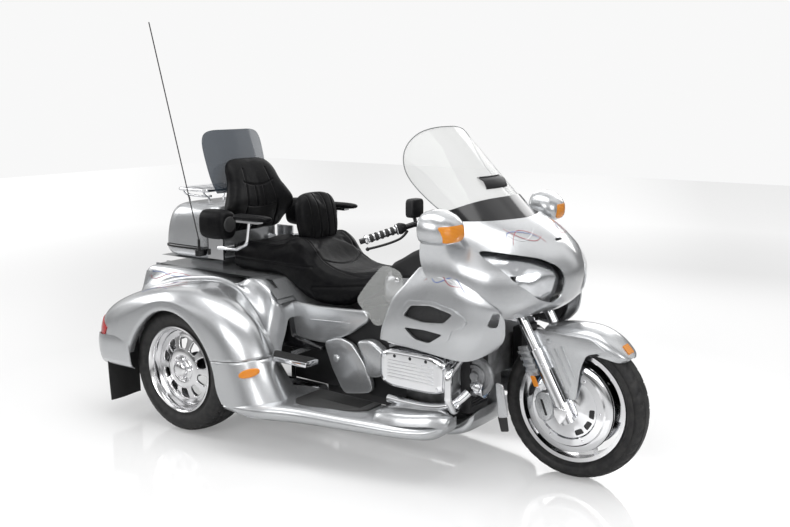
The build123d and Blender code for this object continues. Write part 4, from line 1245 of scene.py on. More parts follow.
def rider_seams(p):
    x, y, z = p[:, 0], np.abs(p[:, 1]), p[:, 2]
    channels = np.where(x > 0.34, np.minimum(np.abs(y - 0.03), np.abs(y - 0.08)), 1)
    return np.minimum(channels, np.abs(x - 0.341 + 0.18 * (z - 1.0)))


pressed(rider_pad, rider_seams, 0.0036, 0.0045)
fit(shape_edges(rider_pad, 80), "chassis", leather, "leather", "rider_backrest")
passenger_rings = [
    (0.912, -0.088, 0.16, 0.016, 0.0), (0.921, -0.086, 0.196, 0.022, 0.0), (0.95, -0.08, 0.228, 0.03, 0.0),
    (1.0, -0.069, 0.245, 0.038, 0.036), (1.045, -0.064, 0.244, 0.044, 0.064),
    (1.105, -0.07, 0.216, 0.044, 0.055), (1.165, -0.084, 0.186, 0.042, 0.03),
    (1.22, -0.102, 0.172, 0.038, 0.016), (1.258, -0.116, 0.154, 0.031, 0.008),
    (1.28, -0.124, 0.124, 0.021, 0.0), (1.289, -0.128, 0.08, 0.01, 0.0),
]
passenger_pad = stuffed(
    lofted("passenger_back_pad", [cushion_ring(*row) for row in passenger_rings], 4, mirrored=False, edges=80),
    0.007, 0.006,
)


def passenger_seams(p):
    x, y, z = p[:, 0], np.abs(p[:, 1]), p[:, 2]
    front = x > -0.06
    panel = np.where(x > -0.065, np.abs(y - 0.118 + 0.16 * (z - 1.0)), 1)
    cross = np.where(front & (y < 0.11), np.minimum(np.abs(z - 1.15 - y * y * 2), np.abs(z - 1.04 - y * y)), 1)
    middle = np.where(front & (z < 1.15) & (z > 1.04), np.abs(y - 0.03), 1)
    return np.minimum(np.minimum(panel, cross), middle)


pressed(passenger_pad, passenger_seams, 0.0045, 0.0055)
fit(shape_edges(passenger_pad, 80), "luggage_lid", leather, "leather", "passenger_backrest")


# Speaker pods beside the passenger, with round perforated grilles, and padded armrests.
pods = []
grilles = []
for side in (-1, 1):
    low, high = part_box("speaker_pods")
    outer = high.y
    inner = outer - 0.11
    mid = side * (outer + inner) / 2
    rings = []
    for x, share in (
        (-0.099, 0.72), (-0.094, 0.88), (-0.075, 0.97), (-0.02, 1.0), (0.03, 0.98), (0.055, 0.92), (0.067, 0.8),
        (0.07, 0.62),
    ):
        rings.append(oval(x, mid, 0.98, 0.055 * share, 0.074 * share, 3.0, 24))
    pods.append(lofted("pod", rings, 3, mirrored=False, edges=60))
    grille_profile = [(0.0, 0.004), (0.02, 0.0035), (0.036, 0.001), (0.04, -0.003), (0.0, -0.003)]
    grille = turned("grille", Vector(), grille_profile, 1, 48)
    grilles.append(moved(grille, at(0.0715, mid, 0.985), (1, 0, 0), "Y", "Z"))
speaker = joined("speaker_pod_shells", pods)
fit(speaker, "chassis", leather, "leather", "speaker_pods")
perforated, spot = new_finish("perforated_plastic", (0.02, 0.02, 0.021), Roughness=0.45)
holes = spot.cells(330.0).within(0.22, 0.36)
feed(perforated, Base_Color=holes.tint((0.002,) * 3, (0.03, 0.03, 0.031)), Normal=holes.bump(0.8, 0.001))
fit(joined("speaker_grilles", grilles), "chassis", perforated, "black_plastic")
low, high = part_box("armrests")
pads = []
for x, half_y, half_z in (
    (0.123, 0.016, 0.006), (0.13, 0.027, 0.011), (0.155, 0.034, 0.0145), (0.22, 0.035, 0.015),
    (0.29, 0.034, 0.015), (0.328, 0.029, 0.0125), (0.344, 0.02, 0.009), (0.349, 0.01, 0.005),
):
    pads.append(oval(x, -0.33, (low.z + high.z) / 2, half_y, half_z, 2.6, 24))
arm_pads = stuffed(lofted("armrest_pads", pads, 4, edges=80), 0.004, 0.003, 3.0)
pressed(
    arm_pads, lambda p: np.abs(np.abs(np.abs(p[:, 1]) - 0.33) - 0.0215) + np.where(p[:, 2] > 1.035, 0, 1),
    0.003, 0.002,
)
fit(shape_edges(arm_pads, 80), "chassis", leather, "leather", "armrests")


# Smoked shield behind the passenger: a thin tinted acrylic sheet with rounded top corners.
# It leans back over the top box, bows slightly round the backrest and rides on the lid.
shield_rows = []
for z, half in (
    (1.112, 0.185), (1.15, 0.198), (1.22, 0.209), (1.3, 0.214), (1.36, 0.213), (1.4, 0.2), (1.418, 0.18),
    (1.427, 0.15), (1.43, 0.11),
):
    lean_back = 0.012 + 0.26 * (z - 1.112)
    shield_rows.append(
        [(-0.1155 - lean_back - 0.5 * (half * s) ** 2, half * s, z) for s in np.linspace(-1, 1, 13)]
    )
smoked, spot = new_finish("smoked_screen", (0.045, 0.06, 0.08), Roughness=0.06, Alpha=0.72)
haze = spot.noise(12.0)
feed(smoked, Roughness=haze * 0.05 + 0.04)
shield = shell("rear_shield_sheet", through_points(shield_rows, 4), (-0.4, 0, 1.2), 0.004, mirrored=False)
fit(shield, "luggage_lid", smoked, "smoked_screen", "rear_shield")


# Top box: silver shell in two halves. The tray stays on the deck, and the lid hinges at its front edge and
# carries the rack. A black moulding runs round the tray under the seam.
def box_ring(z, rear, front, half, corner=3.6, count=48):
    """Level ring of the box, a rounded rectangle."""
    ring = []
    mid, reach = (rear + front) / 2, (front - rear) / 2
    for k in range(count):
        a = 2 * math.pi * k / count
        c, s = math.cos(a), math.sin(a)
        ring.append(
            (
                mid + reach * math.copysign(abs(c) ** (2 / corner), c),
                half * math.copysign(abs(s) ** (2 / corner), s), z,
            )
        )
    return ring


def half_box(name, rings, wall, inside):
    """Open half shell whose last ring is closed by a flat face."""
    grid = through_points(rings, 4)
    rows, columns = grid.shape[:2]
    faces = grid_faces(rows, columns, wrap_columns=True)
    faces.append(tuple((rows - 1) * columns + j for j in range(columns)))
    piece = new_mesh(name, [at(*p) for p in grid.reshape(-1, 3)], faces)
    with reworked(piece) as work:
        face_outward(work, inside)
    return shape_edges(settle(modified(piece, "SOLIDIFY", thickness=wall, offset=-1)), 45)


# height, rear, front, half width, squareness of the corners
tray_levels = [
    (0.835, -0.51, -0.11, 0.255, 5.5), (0.812, -0.5095, -0.11, 0.2545, 5.5), (0.793, -0.505, -0.111, 0.25, 5),
    (0.779, -0.493, -0.115, 0.239, 4.6), (0.772, -0.474, -0.125, 0.222, 4.2),
]
tray_rings = [box_ring(*row) for row in tray_levels]
lid_levels = [
    (0.84, -0.51, -0.11, 0.255, 5.5), (0.88, -0.506, -0.11, 0.2545, 5.5), (0.935, -0.496, -0.11, 0.252, 5.4),
    (0.985, -0.48, -0.11, 0.247, 5.2), (1.02, -0.462, -0.111, 0.238, 4.8), (1.041, -0.44, -0.118, 0.222, 4.4),
    (1.051, -0.408, -0.132, 0.196, 4.0), (1.055, -0.365, -0.158, 0.158, 3.6),
]
lid_rings = [box_ring(*row) for row in lid_levels]
inside_box = (-0.31, 0, 0.84)
box_wall = 0.005
tray = half_box("tray", tray_rings, box_wall, inside_box)
tray_floor = eased(
    "top_box", "tray_floor", 0.002, lambda p: p.x < axle_x - 0.1095 and (p.z < 0.7735 or p.z > 0.8352),
)
bracket = eased("top_box", "top_box_bracket", 0.003, lambda p: p.x > axle_x - 0.1095)
fit(joined("top_box_tray", [tray, tray_floor]), "chassis", silver, "silver_paint", "top_box")
fit(bracket, "chassis", gloss_black, "gloss_black")
lid = half_box("lid", lid_rings, box_wall, inside_box)
lid_knuckles = eased(
    "top_lid", "lid_knuckles", 0.0, lambda p: p.x > axle_x - 0.1125 and p.z < 0.865 and 0.12 < abs(p.y) < 0.2,
)
fit(joined("top_lid_shell", [lid, lid_knuckles]), "luggage_lid", silver, "silver_paint", "top_lid")
moulding_levels = [
    (0.834, -0.5115, -0.1075, 0.2565, 5.5), (0.831, -0.5145, -0.108, 0.259, 5.5),
    (0.826, -0.515, -0.108, 0.2595, 5.5), (0.821, -0.5145, -0.108, 0.259, 5.5),
    (0.819, -0.5105, -0.1085, 0.2555, 5.5),
]
moulding_rings = [box_ring(*row) for row in moulding_levels]
moulding_grid = np.array(moulding_rings)[:, 3:46]
trim = shell("top_box_moulding", moulding_grid, (-0.31, 0, 0.826), 0.0015, mirrored=False)
fit(trim, "chassis", gloss_black, "gloss_black")


# Luggage rack: bent chrome tube on four feet, with cross bars on two levels.
# Each bar is a curve with a round bevel, and the whole rack rides on the box's lid.
def pipe(name, points, radius, closed=False, sides=12, sharp=False):
    """Round bar along a smooth line through points."""
    curve = bpy.data.curves.new(name, "CURVE")
    curve.dimensions = "3D"
    curve.bevel_depth = radius
    curve.bevel_resolution = max(1, sides // 4)
    curve.resolution_u = 6
    curve.use_fill_caps = True
    line = curve.splines.new("POLY" if sharp else "NURBS")
    line.points.add(len(points) - 1)
    for knot, p in zip(line.points, points):
        knot.co = (*at(*p), 1)
    line.use_cyclic_u = closed
    if not sharp:
        line.order_u = 4 if closed else 3
        line.use_endpoint_u = not closed
    holder = placed(name, curve)
    graph = bpy.context.evaluated_depsgraph_get()
    mesh = bpy.data.meshes.new_from_object(holder.evaluated_get(graph))
    bpy.data.objects.remove(holder)
    return shape_edges(placed(name, mesh), 50)


rack_z = 1.118
loop = [
    (-0.455, -0.15), (-0.455, 0.15), (-0.445, 0.168), (-0.25, 0.168), (-0.238, 0.158), (-0.238, -0.158),
    (-0.25, -0.168), (-0.445, -0.168),
]
rack_parts = [pipe("loop", [(x, y, rack_z) for x, y in rounded(loop, 0.03, 3)], 0.0085, closed=True)]
for x in (-0.405, -0.35, -0.295):
    rack_parts.append(
        pipe("bar", [(x, -0.163, rack_z), (x, -0.05, rack_z), (x, 0.05, rack_z), (x, 0.163, rack_z)], 0.0065)
    )
for side in (-1, 1):
    lower = [
        (-0.43, side * 0.12, 1.086), (-0.4, side * 0.125, 1.082), (-0.3, side * 0.125, 1.082),
        (-0.26, side * 0.12, 1.086),
    ]
    rack_parts.append(pipe("rail", lower, 0.0065))
    for x, foot in ((-0.42, 1.03), (-0.27, 1.046)):
        post = [
            (x, side * 0.166, rack_z - 0.004), (x, side * 0.158, 1.095), (x, side * 0.125, 1.082),
            (x, side * 0.12, foot),
        ]
        rack_parts.append(pipe("post", post, 0.0055))
        rack_parts.append(
            turned("foot", at(x, side * 0.12, foot), [(0.012, -0.002), (0.012, 0.004), (0.0, 0.005)], 1, 20)
        )
fit(joined("luggage_rack_tubes", rack_parts), "luggage_lid", chrome, "chrome", "luggage_rack")


# Front fender: silver blade over the tyre, with a plate down each fork leg that carries three raised ribs and
# two round buttons.
# station and height on the crown, half width, how far the sides come down
fender_stations = [
    (1.664, 0.655, 0.092, 0.06), (1.7, 0.663, 0.097, 0.075), (1.76, 0.671, 0.1, 0.1), (1.83, 0.673, 0.1, 0.104),
    (1.9, 0.661, 0.098, 0.094), (1.955, 0.634, 0.094, 0.076), (1.997, 0.6, 0.084, 0.054),
    (2.022, 0.573, 0.066, 0.034), (2.032, 0.561, 0.034, 0.018),
]
fender_rows = []
for x, z, half, drop in fender_stations:
    lean = Vector((x - 1.79, 0, z - 0.3)).normalized()
    row = []
    for share, fall in (
        (-1, 1.0), (-0.99, 0.62), (-0.9, 0.24), (-0.62, 0.06), (0, 0), (0.62, 0.06), (0.9, 0.24), (0.99, 0.62),
        (1, 1.0),
    ):
        row.append((x - lean.x * drop * fall, half * share, z - lean.z * drop * fall))
    fender_rows.append(row)
fender_grid = through_rows(fender_rows, 5, 4)
under_fender = (1.78, 0, 0.4)
blade = shell("blade", fender_grid, under_fender, 0.004, mirrored=False)
tip_lamp = shell("fender_lamp", fender_grid, under_fender, 0.006, mirrored=False, lift=0.004)


def bar(x, z, half, tall):
    """Outline of a bar from z up to z and tall, reaching half on each side of x."""
    return [(x - half, z), (x + half, z), (x + half, z + tall), (x - half, z + tall)]


def plate(name, outline, radius, y_out, thick, bevel=0.003, mirrored=True):
    """Flat plate with rounded corners and edges, standing upright with its outer face at y_out."""
    piece = prism(name, rounded(outline, radius), "y", y_out, y_out + thick, mirrored=False)
    shape_edges(bevelled(piece, bevel, 3, 60), 35)
    return both_sides(piece) if mirrored else piece


plate_outline = [
    (1.668, 0.646), (1.618, 0.636), (1.764, 0.372), (1.828, 0.362), (1.842, 0.5), (1.868, 0.566), (1.96, 0.592),
    (1.89, 0.64),
]
fender_parts = [blade, plate("side", plate_outline, 0.022, -0.104, 0.01, 0.004)]
for n, (x, z, long) in enumerate(((1.7, 0.56, 0.16), (1.728, 0.575, 0.17), (1.757, 0.588, 0.17))):
    along = Vector((0.46, -0.888))
    across = Vector((0.888, 0.46)) * 0.007
    a, b = Vector((x, z)), Vector((x, z)) + along * long
    rib = [tuple(a + across), tuple(b + across * 0.5), tuple(b - across * 0.5), tuple(a - across)]
    fender_parts.append(plate("rib", rib, 0.004, -0.108, 0.008, 0.002))
button_profile = [(0.0, 0.006), (0.008, 0.005), (0.0115, 0.002), (0.012, -0.002), (0.0, -0.002)]
for x, z in ((1.7, 0.6), (1.788, 0.4)):
    fender_parts.append(both_sides(turned("button", at(x, -0.104, z), button_profile, -1, 24)))
triangle = [(1.852, 0.604), (1.925, 0.572), (1.878, 0.562)]
fit(joined("front_fender_shell", fender_parts), "steering", silver, "silver_paint", "front_fender")
fit(plate("fender_ports", triangle, 0.006, -0.1025, 0.01, 0.001), "steering", gloss_black, "gloss_black")
tip_outline = [(1.992, 0.5), (2.02, 0.5), (2.02, 0.7), (1.992, 0.7)]
tip_tool = prism("tip_part", tip_outline, "y", -0.026, 0.026, mirrored=False)
cut(tip_lamp, tip_tool, "INTERSECT")
fit(shape_edges(tip_lamp, 40), "steering", amber, "amber_glass")


# Brake disc covers: chrome domes on the hub, each with four slots over a black ring and six bolts, and the
# caliper covers and axle caps that sit on the fork's feet.
hub = node_centre("front_tyre")
cover_profile = [
    (0.0, 0.086), (0.04, 0.086), (0.06, 0.0835), (0.066, 0.08), (0.128, 0.076), (0.134, 0.083), (0.162, 0.08),
    (0.168, 0.074), (0.188, 0.071), (0.196, 0.066), (0.199, 0.058), (0.198, 0.052), (0.19, 0.056),
    (0.15, 0.062), (0.0, 0.062),
]
cover = turned("cover", hub, cover_profile, -1)
for turn in (-4, -32, -60, 148):
    a = math.radians(turn)
    out, side_way = Vector((math.cos(a), math.sin(a))), Vector((-math.sin(a), math.cos(a)))
    mid = Vector((hub.x - axle_x, hub.z)) + out * 0.108
    corners = [
        mid + out * u + side_way * v
        for u, v in ((0.012, 0.021), (0.012, -0.021), (-0.011, -0.017), (-0.011, 0.017))
    ]
    cut(cover, prism("slot", rounded([tuple(c) for c in corners], 0.007), "y", -0.12, -0.07, mirrored=False))
backing = turned("disc_backing", hub, [(0.07, 0.0745), (0.132, 0.071), (0.132, 0.066), (0.07, 0.066)], -1, 64)
fit(both_sides(backing), "steering", gloss_black, "gloss_black")
bolts = ring_of("bolts", nut(0.0055, 0.005), 6, 0.148, hub + Vector((0, -0.081, 0)), (0, -1, 0), chrome)
covers = both_sides(joined("cover_set", [cover, bolts]))
covers.name = "disc_cover_set"
fit(shape_edges(covers, 35), "steering", chrome, "chrome", "disc_covers")
caliper_outline = [(1.668, 0.384), (1.726, 0.392), (1.748, 0.318), (1.724, 0.262), (1.68, 0.268), (1.656, 0.33)]
caliper = plate("caliper_covers", caliper_outline, 0.018, -0.137, 0.044, 0.006)
fit(caliper, "steering", silver, "silver_paint")
slot_line = [(1.684, 0.356), (1.694, 0.358), (1.72, 0.292), (1.71, 0.288)]
fit(plate("caliper_slots", slot_line, 0.004, -0.1385, 0.004, 0.001), "steering", gloss_black, "gloss_black")
axle_cap = [(1.752, 0.336), (1.814, 0.336), (1.81, 0.3), (1.783, 0.262), (1.756, 0.3)]
fit(plate("axle_caps", axle_cap, 0.01, -0.1535, 0.012, 0.004), "steering", polished, "polished_alloy")
reflector_outline = [(1.64, 0.452), (1.662, 0.456), (1.682, 0.412), (1.66, 0.408)]
reflector = plate("fork_reflectors", reflector_outline, 0.006, -0.1505, 0.006, 0.002)
fit(reflector, "steering", amber, "amber_glass")


# Fork: chrome legs that keep their CAD shape. Each has chrome rings at its foot and its top, and two thin black
# inlays in its front.
rake = math.radians(29.25)
stem = Vector((-math.sin(rake), 0, math.cos(rake)))
leg_foot = Vector((hub.x, 0, hub.z)) - stem * 0.055
leg_y = 0.118


def along_leg(piece, distance):
    """Turns a piece made about the y axis onto the right leg's line, distance up from its foot."""
    return moved(piece, leg_foot + stem * distance + Vector((0, -leg_y, 0)), stem, "Y", "X")


leg_rings = []
for distance, radius, high in (
    (0.3, 0.03, 0.034), (0.25, 0.0295, 0.006), (0.262, 0.0295, 0.006), (0.06, 0.03, 0.012),
):
    ring_section = [
        (0.0, 0.0), (radius - 0.003, 0.0), (radius, 0.003), (radius, high - 0.003), (radius - 0.003, high),
        (0.0, high),
    ]
    leg_rings.append(along_leg(turned("ring", Vector(), ring_section, 1, 40), distance))
fit(both_sides(joined("fork_rings", leg_rings)), "steering", chrome, "chrome")
inlays = []
for turn in (-0.35, 0.35):
    way = Vector((math.cos(rake) * math.cos(turn), math.sin(turn), math.sin(rake) * math.cos(turn)))
    rows = []
    for distance in (0.085, 0.09, 0.23, 0.235):
        width = 0.002 if distance in (0.085, 0.235) else 0.0045
        centre = leg_foot + stem * distance + Vector((0, -leg_y, 0)) + way * 0.0284
        across = stem.cross(way).normalized() * width
        rows.append([centre - across, centre + way * 0.0008, centre + across])
    inlays.append(modified(woven("inlay", rows), "SOLIDIFY", thickness=0.001))
fit(both_sides(joined("fork_inlays", inlays)), "steering", gloss_black, "gloss_black")


# Handlebar grips and controls: ribbed rubber grips between chrome bands, switch boxes, levers with ball ends,
# and a small black box clamped to the bar.
grip_out, grip_in = Vector((0.96, -0.414, 0.9945)), Vector((1.058, -0.298, 1.0385))
grip_way = (grip_out - grip_in).normalized()


def on_bar(piece, distance):
    """Turns a piece made about the y axis onto the right grip, distance outward from its inner end."""
    return moved(piece, at(*(grip_in + grip_way * distance)), grip_way, "Y", "X")


def bead(radius, long, rounding=0.002):
    return [
        (0.0, 0.0), (radius - rounding, 0.0), (radius, rounding), (radius, long - rounding),
        (radius - rounding, long), (0.0, long),
    ]


rubber, spot = new_finish("grip_rubber", (0.02, 0.02, 0.02), Roughness=0.65)
speck = spot.noise(500.0)
feed(rubber, Roughness=speck * 0.2 + 0.5, Normal=speck.bump(0.3, 0.0005))
grip_rings = [
    on_bar(turned("rubber", Vector(), bead(0.0185, 0.0155, 0.004), 1, 32), 0.012 + 0.024 * n)
    for n in range(5)
]
bands = [on_bar(turned("band", Vector(), bead(0.0162, 0.0095), 1, 32), 0.003 + 0.024 * n) for n in range(6)]
bands.append(on_bar(turned("flange", Vector(), bead(0.0245, 0.005), 1, 32), -0.004))
bands.append(on_bar(turned("end", Vector(), bead(0.0205, 0.014, 0.005), 1, 32), 0.131))
fit(both_sides(joined("grip_rubbers", grip_rings)), "steering", rubber, "rubber")
fit(both_sides(joined("grip_bands", bands)), "steering", chrome, "chrome")
switch_rings = []
for distance, half_y, half_z in (
    (-0.006, 0.017, 0.02), (-0.01, 0.02, 0.024), (-0.028, 0.018, 0.022), (-0.04, 0.014, 0.016),
    (-0.045, 0.01, 0.012),
):
    ring = []
    centre = grip_in + grip_way * distance
    side_way = grip_way.cross(Vector((0, 0, 1))).normalized()
    up = side_way.cross(grip_way)
    for _, a, b in oval(0, 0, 0, half_y, half_z, 3.0, 20):
        ring.append(tuple(centre + side_way * a + up * b))
    switch_rings.append(ring)
controls = [lofted("switches", switch_rings, 2)]
lever = [
    (1.092, -0.264, 1.032), (1.098, -0.3, 1.01), (1.075, -0.35, 0.992), (1.036, -0.4, 0.976),
    (1.008, -0.432, 0.968),
]
controls.append(both_sides(pipe("lever", lever, 0.0055)))
ball = turned(
    "ball", at(1.006, -0.434, 0.967),
    [(0.0, -0.009), (0.006, -0.007), (0.009, 0.0), (0.006, 0.007), (0.0, 0.009)], 1, 20,
)
controls.append(both_sides(ball))
box_rings = [
    oval(x, -0.176, 1.122, 0.045 * share, 0.042 * share, 5, 24)
    for x, share in ((1.048, 0.84), (1.051, 0.97), (1.056, 1.0), (1.078, 1.0), (1.086, 0.97), (1.09, 0.84))
]
controls.append(lofted("box", box_rings, 2, mirrored=False))
controls.append(pipe("box_stay", [(1.072, -0.186, 1.088), (1.088, -0.2, 1.074), (1.108, -0.222, 1.062)], 0.008))
for side in (-1, 1):
    controls.append(pipe("hose", [
        (1.118, side * 0.23, 1.06), (1.19, side * 0.17, 1.046), (1.25, side * 0.12, 1.02),
        (1.3, side * 0.11, 0.985), (1.33, side * 0.11, 0.95),
    ], 0.0045))
fit(joined("handlebar_controls", controls), "steering", black_plastic, "black_plastic")


# Tail lamps: red lenses wrapped round the rear corners of the wings.
# Each takes a patch of the wing's own surface and stands 4 mm proud of it.
red, spot = new_finish("red_lens", (0.55, 0.008, 0.01), Roughness=0.08, Transmission_Weight=0.2)
ribs = spot.node("ShaderNodeTexWave", {"bands_direction": "Z"}, Vector=spot, Scale=55.0)
feed(red, Base_Color=ribs.tint((0.42, 0.004, 0.006), (0.68, 0.015, 0.015)), Normal=ribs.bump(0.3, 0.001))
tail = shell("tail_lamp_lenses", wing_grid[-13:-4, 26:-14], inside_wing, 0.004, lift=0.004)
fit(shape_edges(tail, 40), "chassis", red, "red_glass", "tail_lamps")

# Trunk door: silver panel across the tail, hinged along its top edge.
# It carries a blank number plate and a chrome handle.
door = eased("trunk_door", "trunk_door_panel", 0.004)
fit(door, "rear_door", silver, "silver_paint", "trunk_door")
door_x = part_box("trunk_door")[0].x - axle_x
number_plate = [
    oval(x, 0.0, 0.5, 0.15 * share, 0.045 * share, 8, 32)
    for x, share in ((door_x + 0.001, 1.0), (door_x - 0.003, 1.0), (door_x - 0.004, 0.985))
]
plain_plate, spot = new_finish("plain_plate", (0.62, 0.62, 0.6), Roughness=0.4)
dirt = spot.noise(30.0, Detail=4.0)
feed(plain_plate, Base_Color=dirt.tint((0.55, 0.55, 0.53), (0.68, 0.68, 0.66)), Roughness=dirt * 0.3 + 0.3)
fit(lofted("blank_plate", number_plate, 1, mirrored=False), "rear_door", plain_plate, "silver_paint")
handle = [
    (door_x + 0.002, -0.07, 0.455), (door_x - 0.01, -0.06, 0.452), (door_x - 0.01, 0.06, 0.452),
    (door_x + 0.002, 0.07, 0.455),
]
fit(pipe("trunk_handle", handle, 0.005), "rear_door", chrome, "chrome")

# Mudflaps: black rubber sheets behind the rear wheels.
# They are slightly waved and drawn out at the outer lower corner.
flap_low, flap_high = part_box("mudflaps")
flap_x = (flap_low.x + flap_high.x) / 2 - axle_x
flap_out = flap_high.y
flap_rows = []
for share in np.linspace(0, 1, 9):
    z = flap_high.z - 0.002 - share * (flap_high.z - flap_low.z - 0.002)
    flap_rows.append([
        (
            flap_x - 0.004 * math.sin(share * 3) + 0.006 * share * math.sin(s * 5),
            -flap_out + s * 0.2 + 0.012 * share * (1 - s), z,
        )
        for s in np.linspace(0, 1, 9)
    ])
flaps = shell("mudflap_sheets", through_points(flap_rows, 3), (0, -0.5, 0.25), 0.005)
fit(flaps, "chassis", rubber, "rubber", "mudflaps")


# Engine: cast alloy block with two cylinder banks, a bolted chrome cover with ribs on each bank, and fins on
# the heads.
cast, spot = new_finish("cast_alloy", (0.3, 0.31, 0.32), Metallic=0.85, Roughness=0.5)
sand = spot.noise(240.0, Detail=4.0)
grime = spot.noise(11.0, Detail=5.0)
feed(
    cast, Base_Color=grime.within(0.35, 0.7).tint((0.15, 0.15, 0.155), (0.42, 0.43, 0.44)),
    Roughness=sand * 0.2 + 0.35,
    Normal=sand.bump(0.4, 0.0008),
)
dark_cast, spot = new_finish("dark_castings", (0.05, 0.05, 0.053), Metallic=0.6, Roughness=0.5)
sand = spot.noise(240.0, Detail=4.0)
feed(dark_cast, Roughness=sand * 0.25 + 0.35, Normal=sand.bump(0.4, 0.0008))
block = eased("engine", "engine_block", 0.008)
fit(block, "chassis", cast, "cast_alloy", "engine")


row_of_parts = parts_tree("row_of_parts", "GeometryNodeMeshLine", "Count", "Offset", "Vector", False)


def row_of(name, part, count, step, finish):
    """Count copies of part, each moved on by step."""
    return repeated(name, row_of_parts, part, Count=count, Offset=step, Finish=finish)


bank_low, bank_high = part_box("valve_covers")
bank_x = (bank_low.x + bank_high.x) / 2 - axle_x
bank_z = (bank_low.z + bank_high.z) / 2
cover_rings = []
for y, share in ((-0.3455, 1.0), (-0.36, 1.0), (-0.385, 0.985), (-0.4, 0.95), (-0.409, 0.88), (-0.4125, 0.76)):
    cover_rings.append([
        (bank_x + a, y, bank_z + b) for _, a, b in oval(0, 0, 0, 0.1725 * share, 0.0875 * share, 4.5, 40)
    ])
cover_parts = [lofted("cover", cover_rings, 3, mirrored=False, edges=30)]
rib_outline = bar(bank_x, bank_z - 0.04, 0.118, 0.007)
rib = plate("rib", rib_outline, 0.003, -0.4155, 0.006, 0.0015, mirrored=False)
cover_parts.append(row_of("ribs", rib, 6, (0, 0, 0.0145), chrome))
bolt_profile = [(0.0, 0.009), (0.007, 0.008), (0.0085, 0.0), (0.0, 0.0)]
for x in (-0.135, 0.135):
    for z in (-0.052, 0.052):
        place = at(bank_x + x, -0.405, bank_z + z)
        cover_parts.append(turned("bolt", place, bolt_profile, -1, 6))
fit(both_sides(joined("valve_cover_set", cover_parts)), "chassis", chrome, "chrome", "valve_covers")
fin_outline = bar(bank_x, bank_z - 0.07, 0.15, 0.004)
fin = plate("fin", fin_outline, 0.002, -0.35, 0.12, 0.001, mirrored=False)
fins = both_sides(row_of("head_fins", fin, 11, (0, 0, 0.0138), cast))
fins.name = "cylinder_fins"
fit(fins, "chassis", cast, "cast_alloy")


# Radiators: black cores with slats in black shrouds, and round driving lamps with pale blue lenses.
rad_low, rad_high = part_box("radiators")
rad_x = rad_high.x - axle_x
shroud = eased("radiators", "radiator_shrouds", 0.006)
fit(shroud, "chassis", black_plastic, "black_plastic", "radiators")
slat_rings = [
    oval(rad_x - 0.002, -0.225, rad_low.z + 0.03, 0.062, 0.0022, 4, 12),
    oval(rad_x + 0.004, -0.225, rad_low.z + 0.027, 0.062, 0.0022, 4, 12),
]
slats = both_sides(
    row_of("slats", lofted("slat", slat_rings, 1, mirrored=False), 19, (0, 0, 0.0125), black_plastic)
)
slats.name = "radiator_slats"
fit(slats, "chassis", dark_cast, "black_steel")
lamp_low, lamp_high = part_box("driving_lamps")
lamp_y = (lamp_high.y + 0.223) / 2
lamp_profile = [
    (0.0, 0.02), (0.034, 0.02), (0.037, 0.05), (0.0405, 0.058), (0.042, 0.056), (0.042, 0.03), (0.036, 0.006),
    (0.024, 0.001), (0.0, 0.0),
]
lens_profile = [(0.0, 0.0545), (0.02, 0.053), (0.036, 0.048), (0.036, 0.044), (0.0, 0.044)]
lamp_parts, lens_parts = [], []
for side in (-1, 1):
    where = at(lamp_low.x - axle_x, side * lamp_y, (lamp_low.z + lamp_high.z) / 2)
    for profile, parts in ((lamp_profile, lamp_parts), (lens_profile, lens_parts)):
        parts.append(moved(turned("lamp", Vector(), profile, 1, 48), where, (1, 0, 0), "Y", "Z"))
fit(joined("driving_lamp_shells", lamp_parts), "chassis", chrome, "chrome", "driving_lamps")
blue_lens, spot = new_finish("blue_lens", (0.3, 0.52, 0.8), Roughness=0.06, Transmission_Weight=0.4)
facets = spot.cells(90.0)
feed(blue_lens, Base_Color=facets.tint((0.2, 0.42, 0.72), (0.55, 0.72, 0.92)))
fit(joined("driving_lamp_lenses", lens_parts), "chassis", blue_lens, "lamp_glass")


# Belly cowl: silver scoop under the engine behind the front wheel.
# It is lofted through rounded rectangles that rise and narrow towards the front.
belly_stations = [
    (1.12, 0.27, 0.187, 0.152), (1.22, 0.285, 0.19, 0.152), (1.32, 0.288, 0.205, 0.158),
    (1.39, 0.286, 0.245, 0.175), (1.425, 0.28, 0.275, 0.205), (1.44, 0.27, 0.284, 0.24),
]
belly = [oval(x, 0, (top + low) / 2, half, (top - low) / 2, 5, 40) for x, half, top, low in belly_stations]
fit(lofted("belly_cowl_shell", belly, 4, mirrored=False), "chassis", silver, "silver_paint", "belly_cowl")

# Side covers and frame covers: silver panels under the seat and over the frame's uprights, silver pivot covers
# ahead of them, and gloss black guards behind.
side_outline = [
    (0.412, 0.456), (0.38, 0.636), (0.56, 0.628), (0.7, 0.634), (0.852, 0.644), (0.872, 0.6), (0.76, 0.52),
    (0.61, 0.452),
]
side_panel = plate("side_cover_panels", side_outline, 0.03, -0.25, 0.03, 0.01)
fit(side_panel, "chassis", silver, "silver_paint", "side_covers")
trim_outline = [(0.52, 0.556), (0.76, 0.57), (0.752, 0.576), (0.52, 0.562)]
fit(plate("side_cover_trims", trim_outline, 0.006, -0.2525, 0.004, 0.001), "chassis", chrome, "chrome")
frame_outline = [
    (0.608, 0.468), (0.7, 0.5), (0.78, 0.48), (0.85, 0.4), (0.897, 0.3), (0.88, 0.262), (0.73, 0.232),
    (0.66, 0.34),
]
frame_plates = [plate("frame_plate", frame_outline, 0.03, -0.262, 0.03, 0.008)]
boss = turned(
    "boss", at(0.688, -0.262, 0.395),
    [(0.0, 0.01), (0.014, 0.009), (0.02, 0.004), (0.022, -0.004), (0.0, -0.004)], -1, 32,
)
frame_plates.append(both_sides(boss))
fit(joined("frame_cover_plates", frame_plates), "chassis", silver, "silver_paint", "frame_covers")
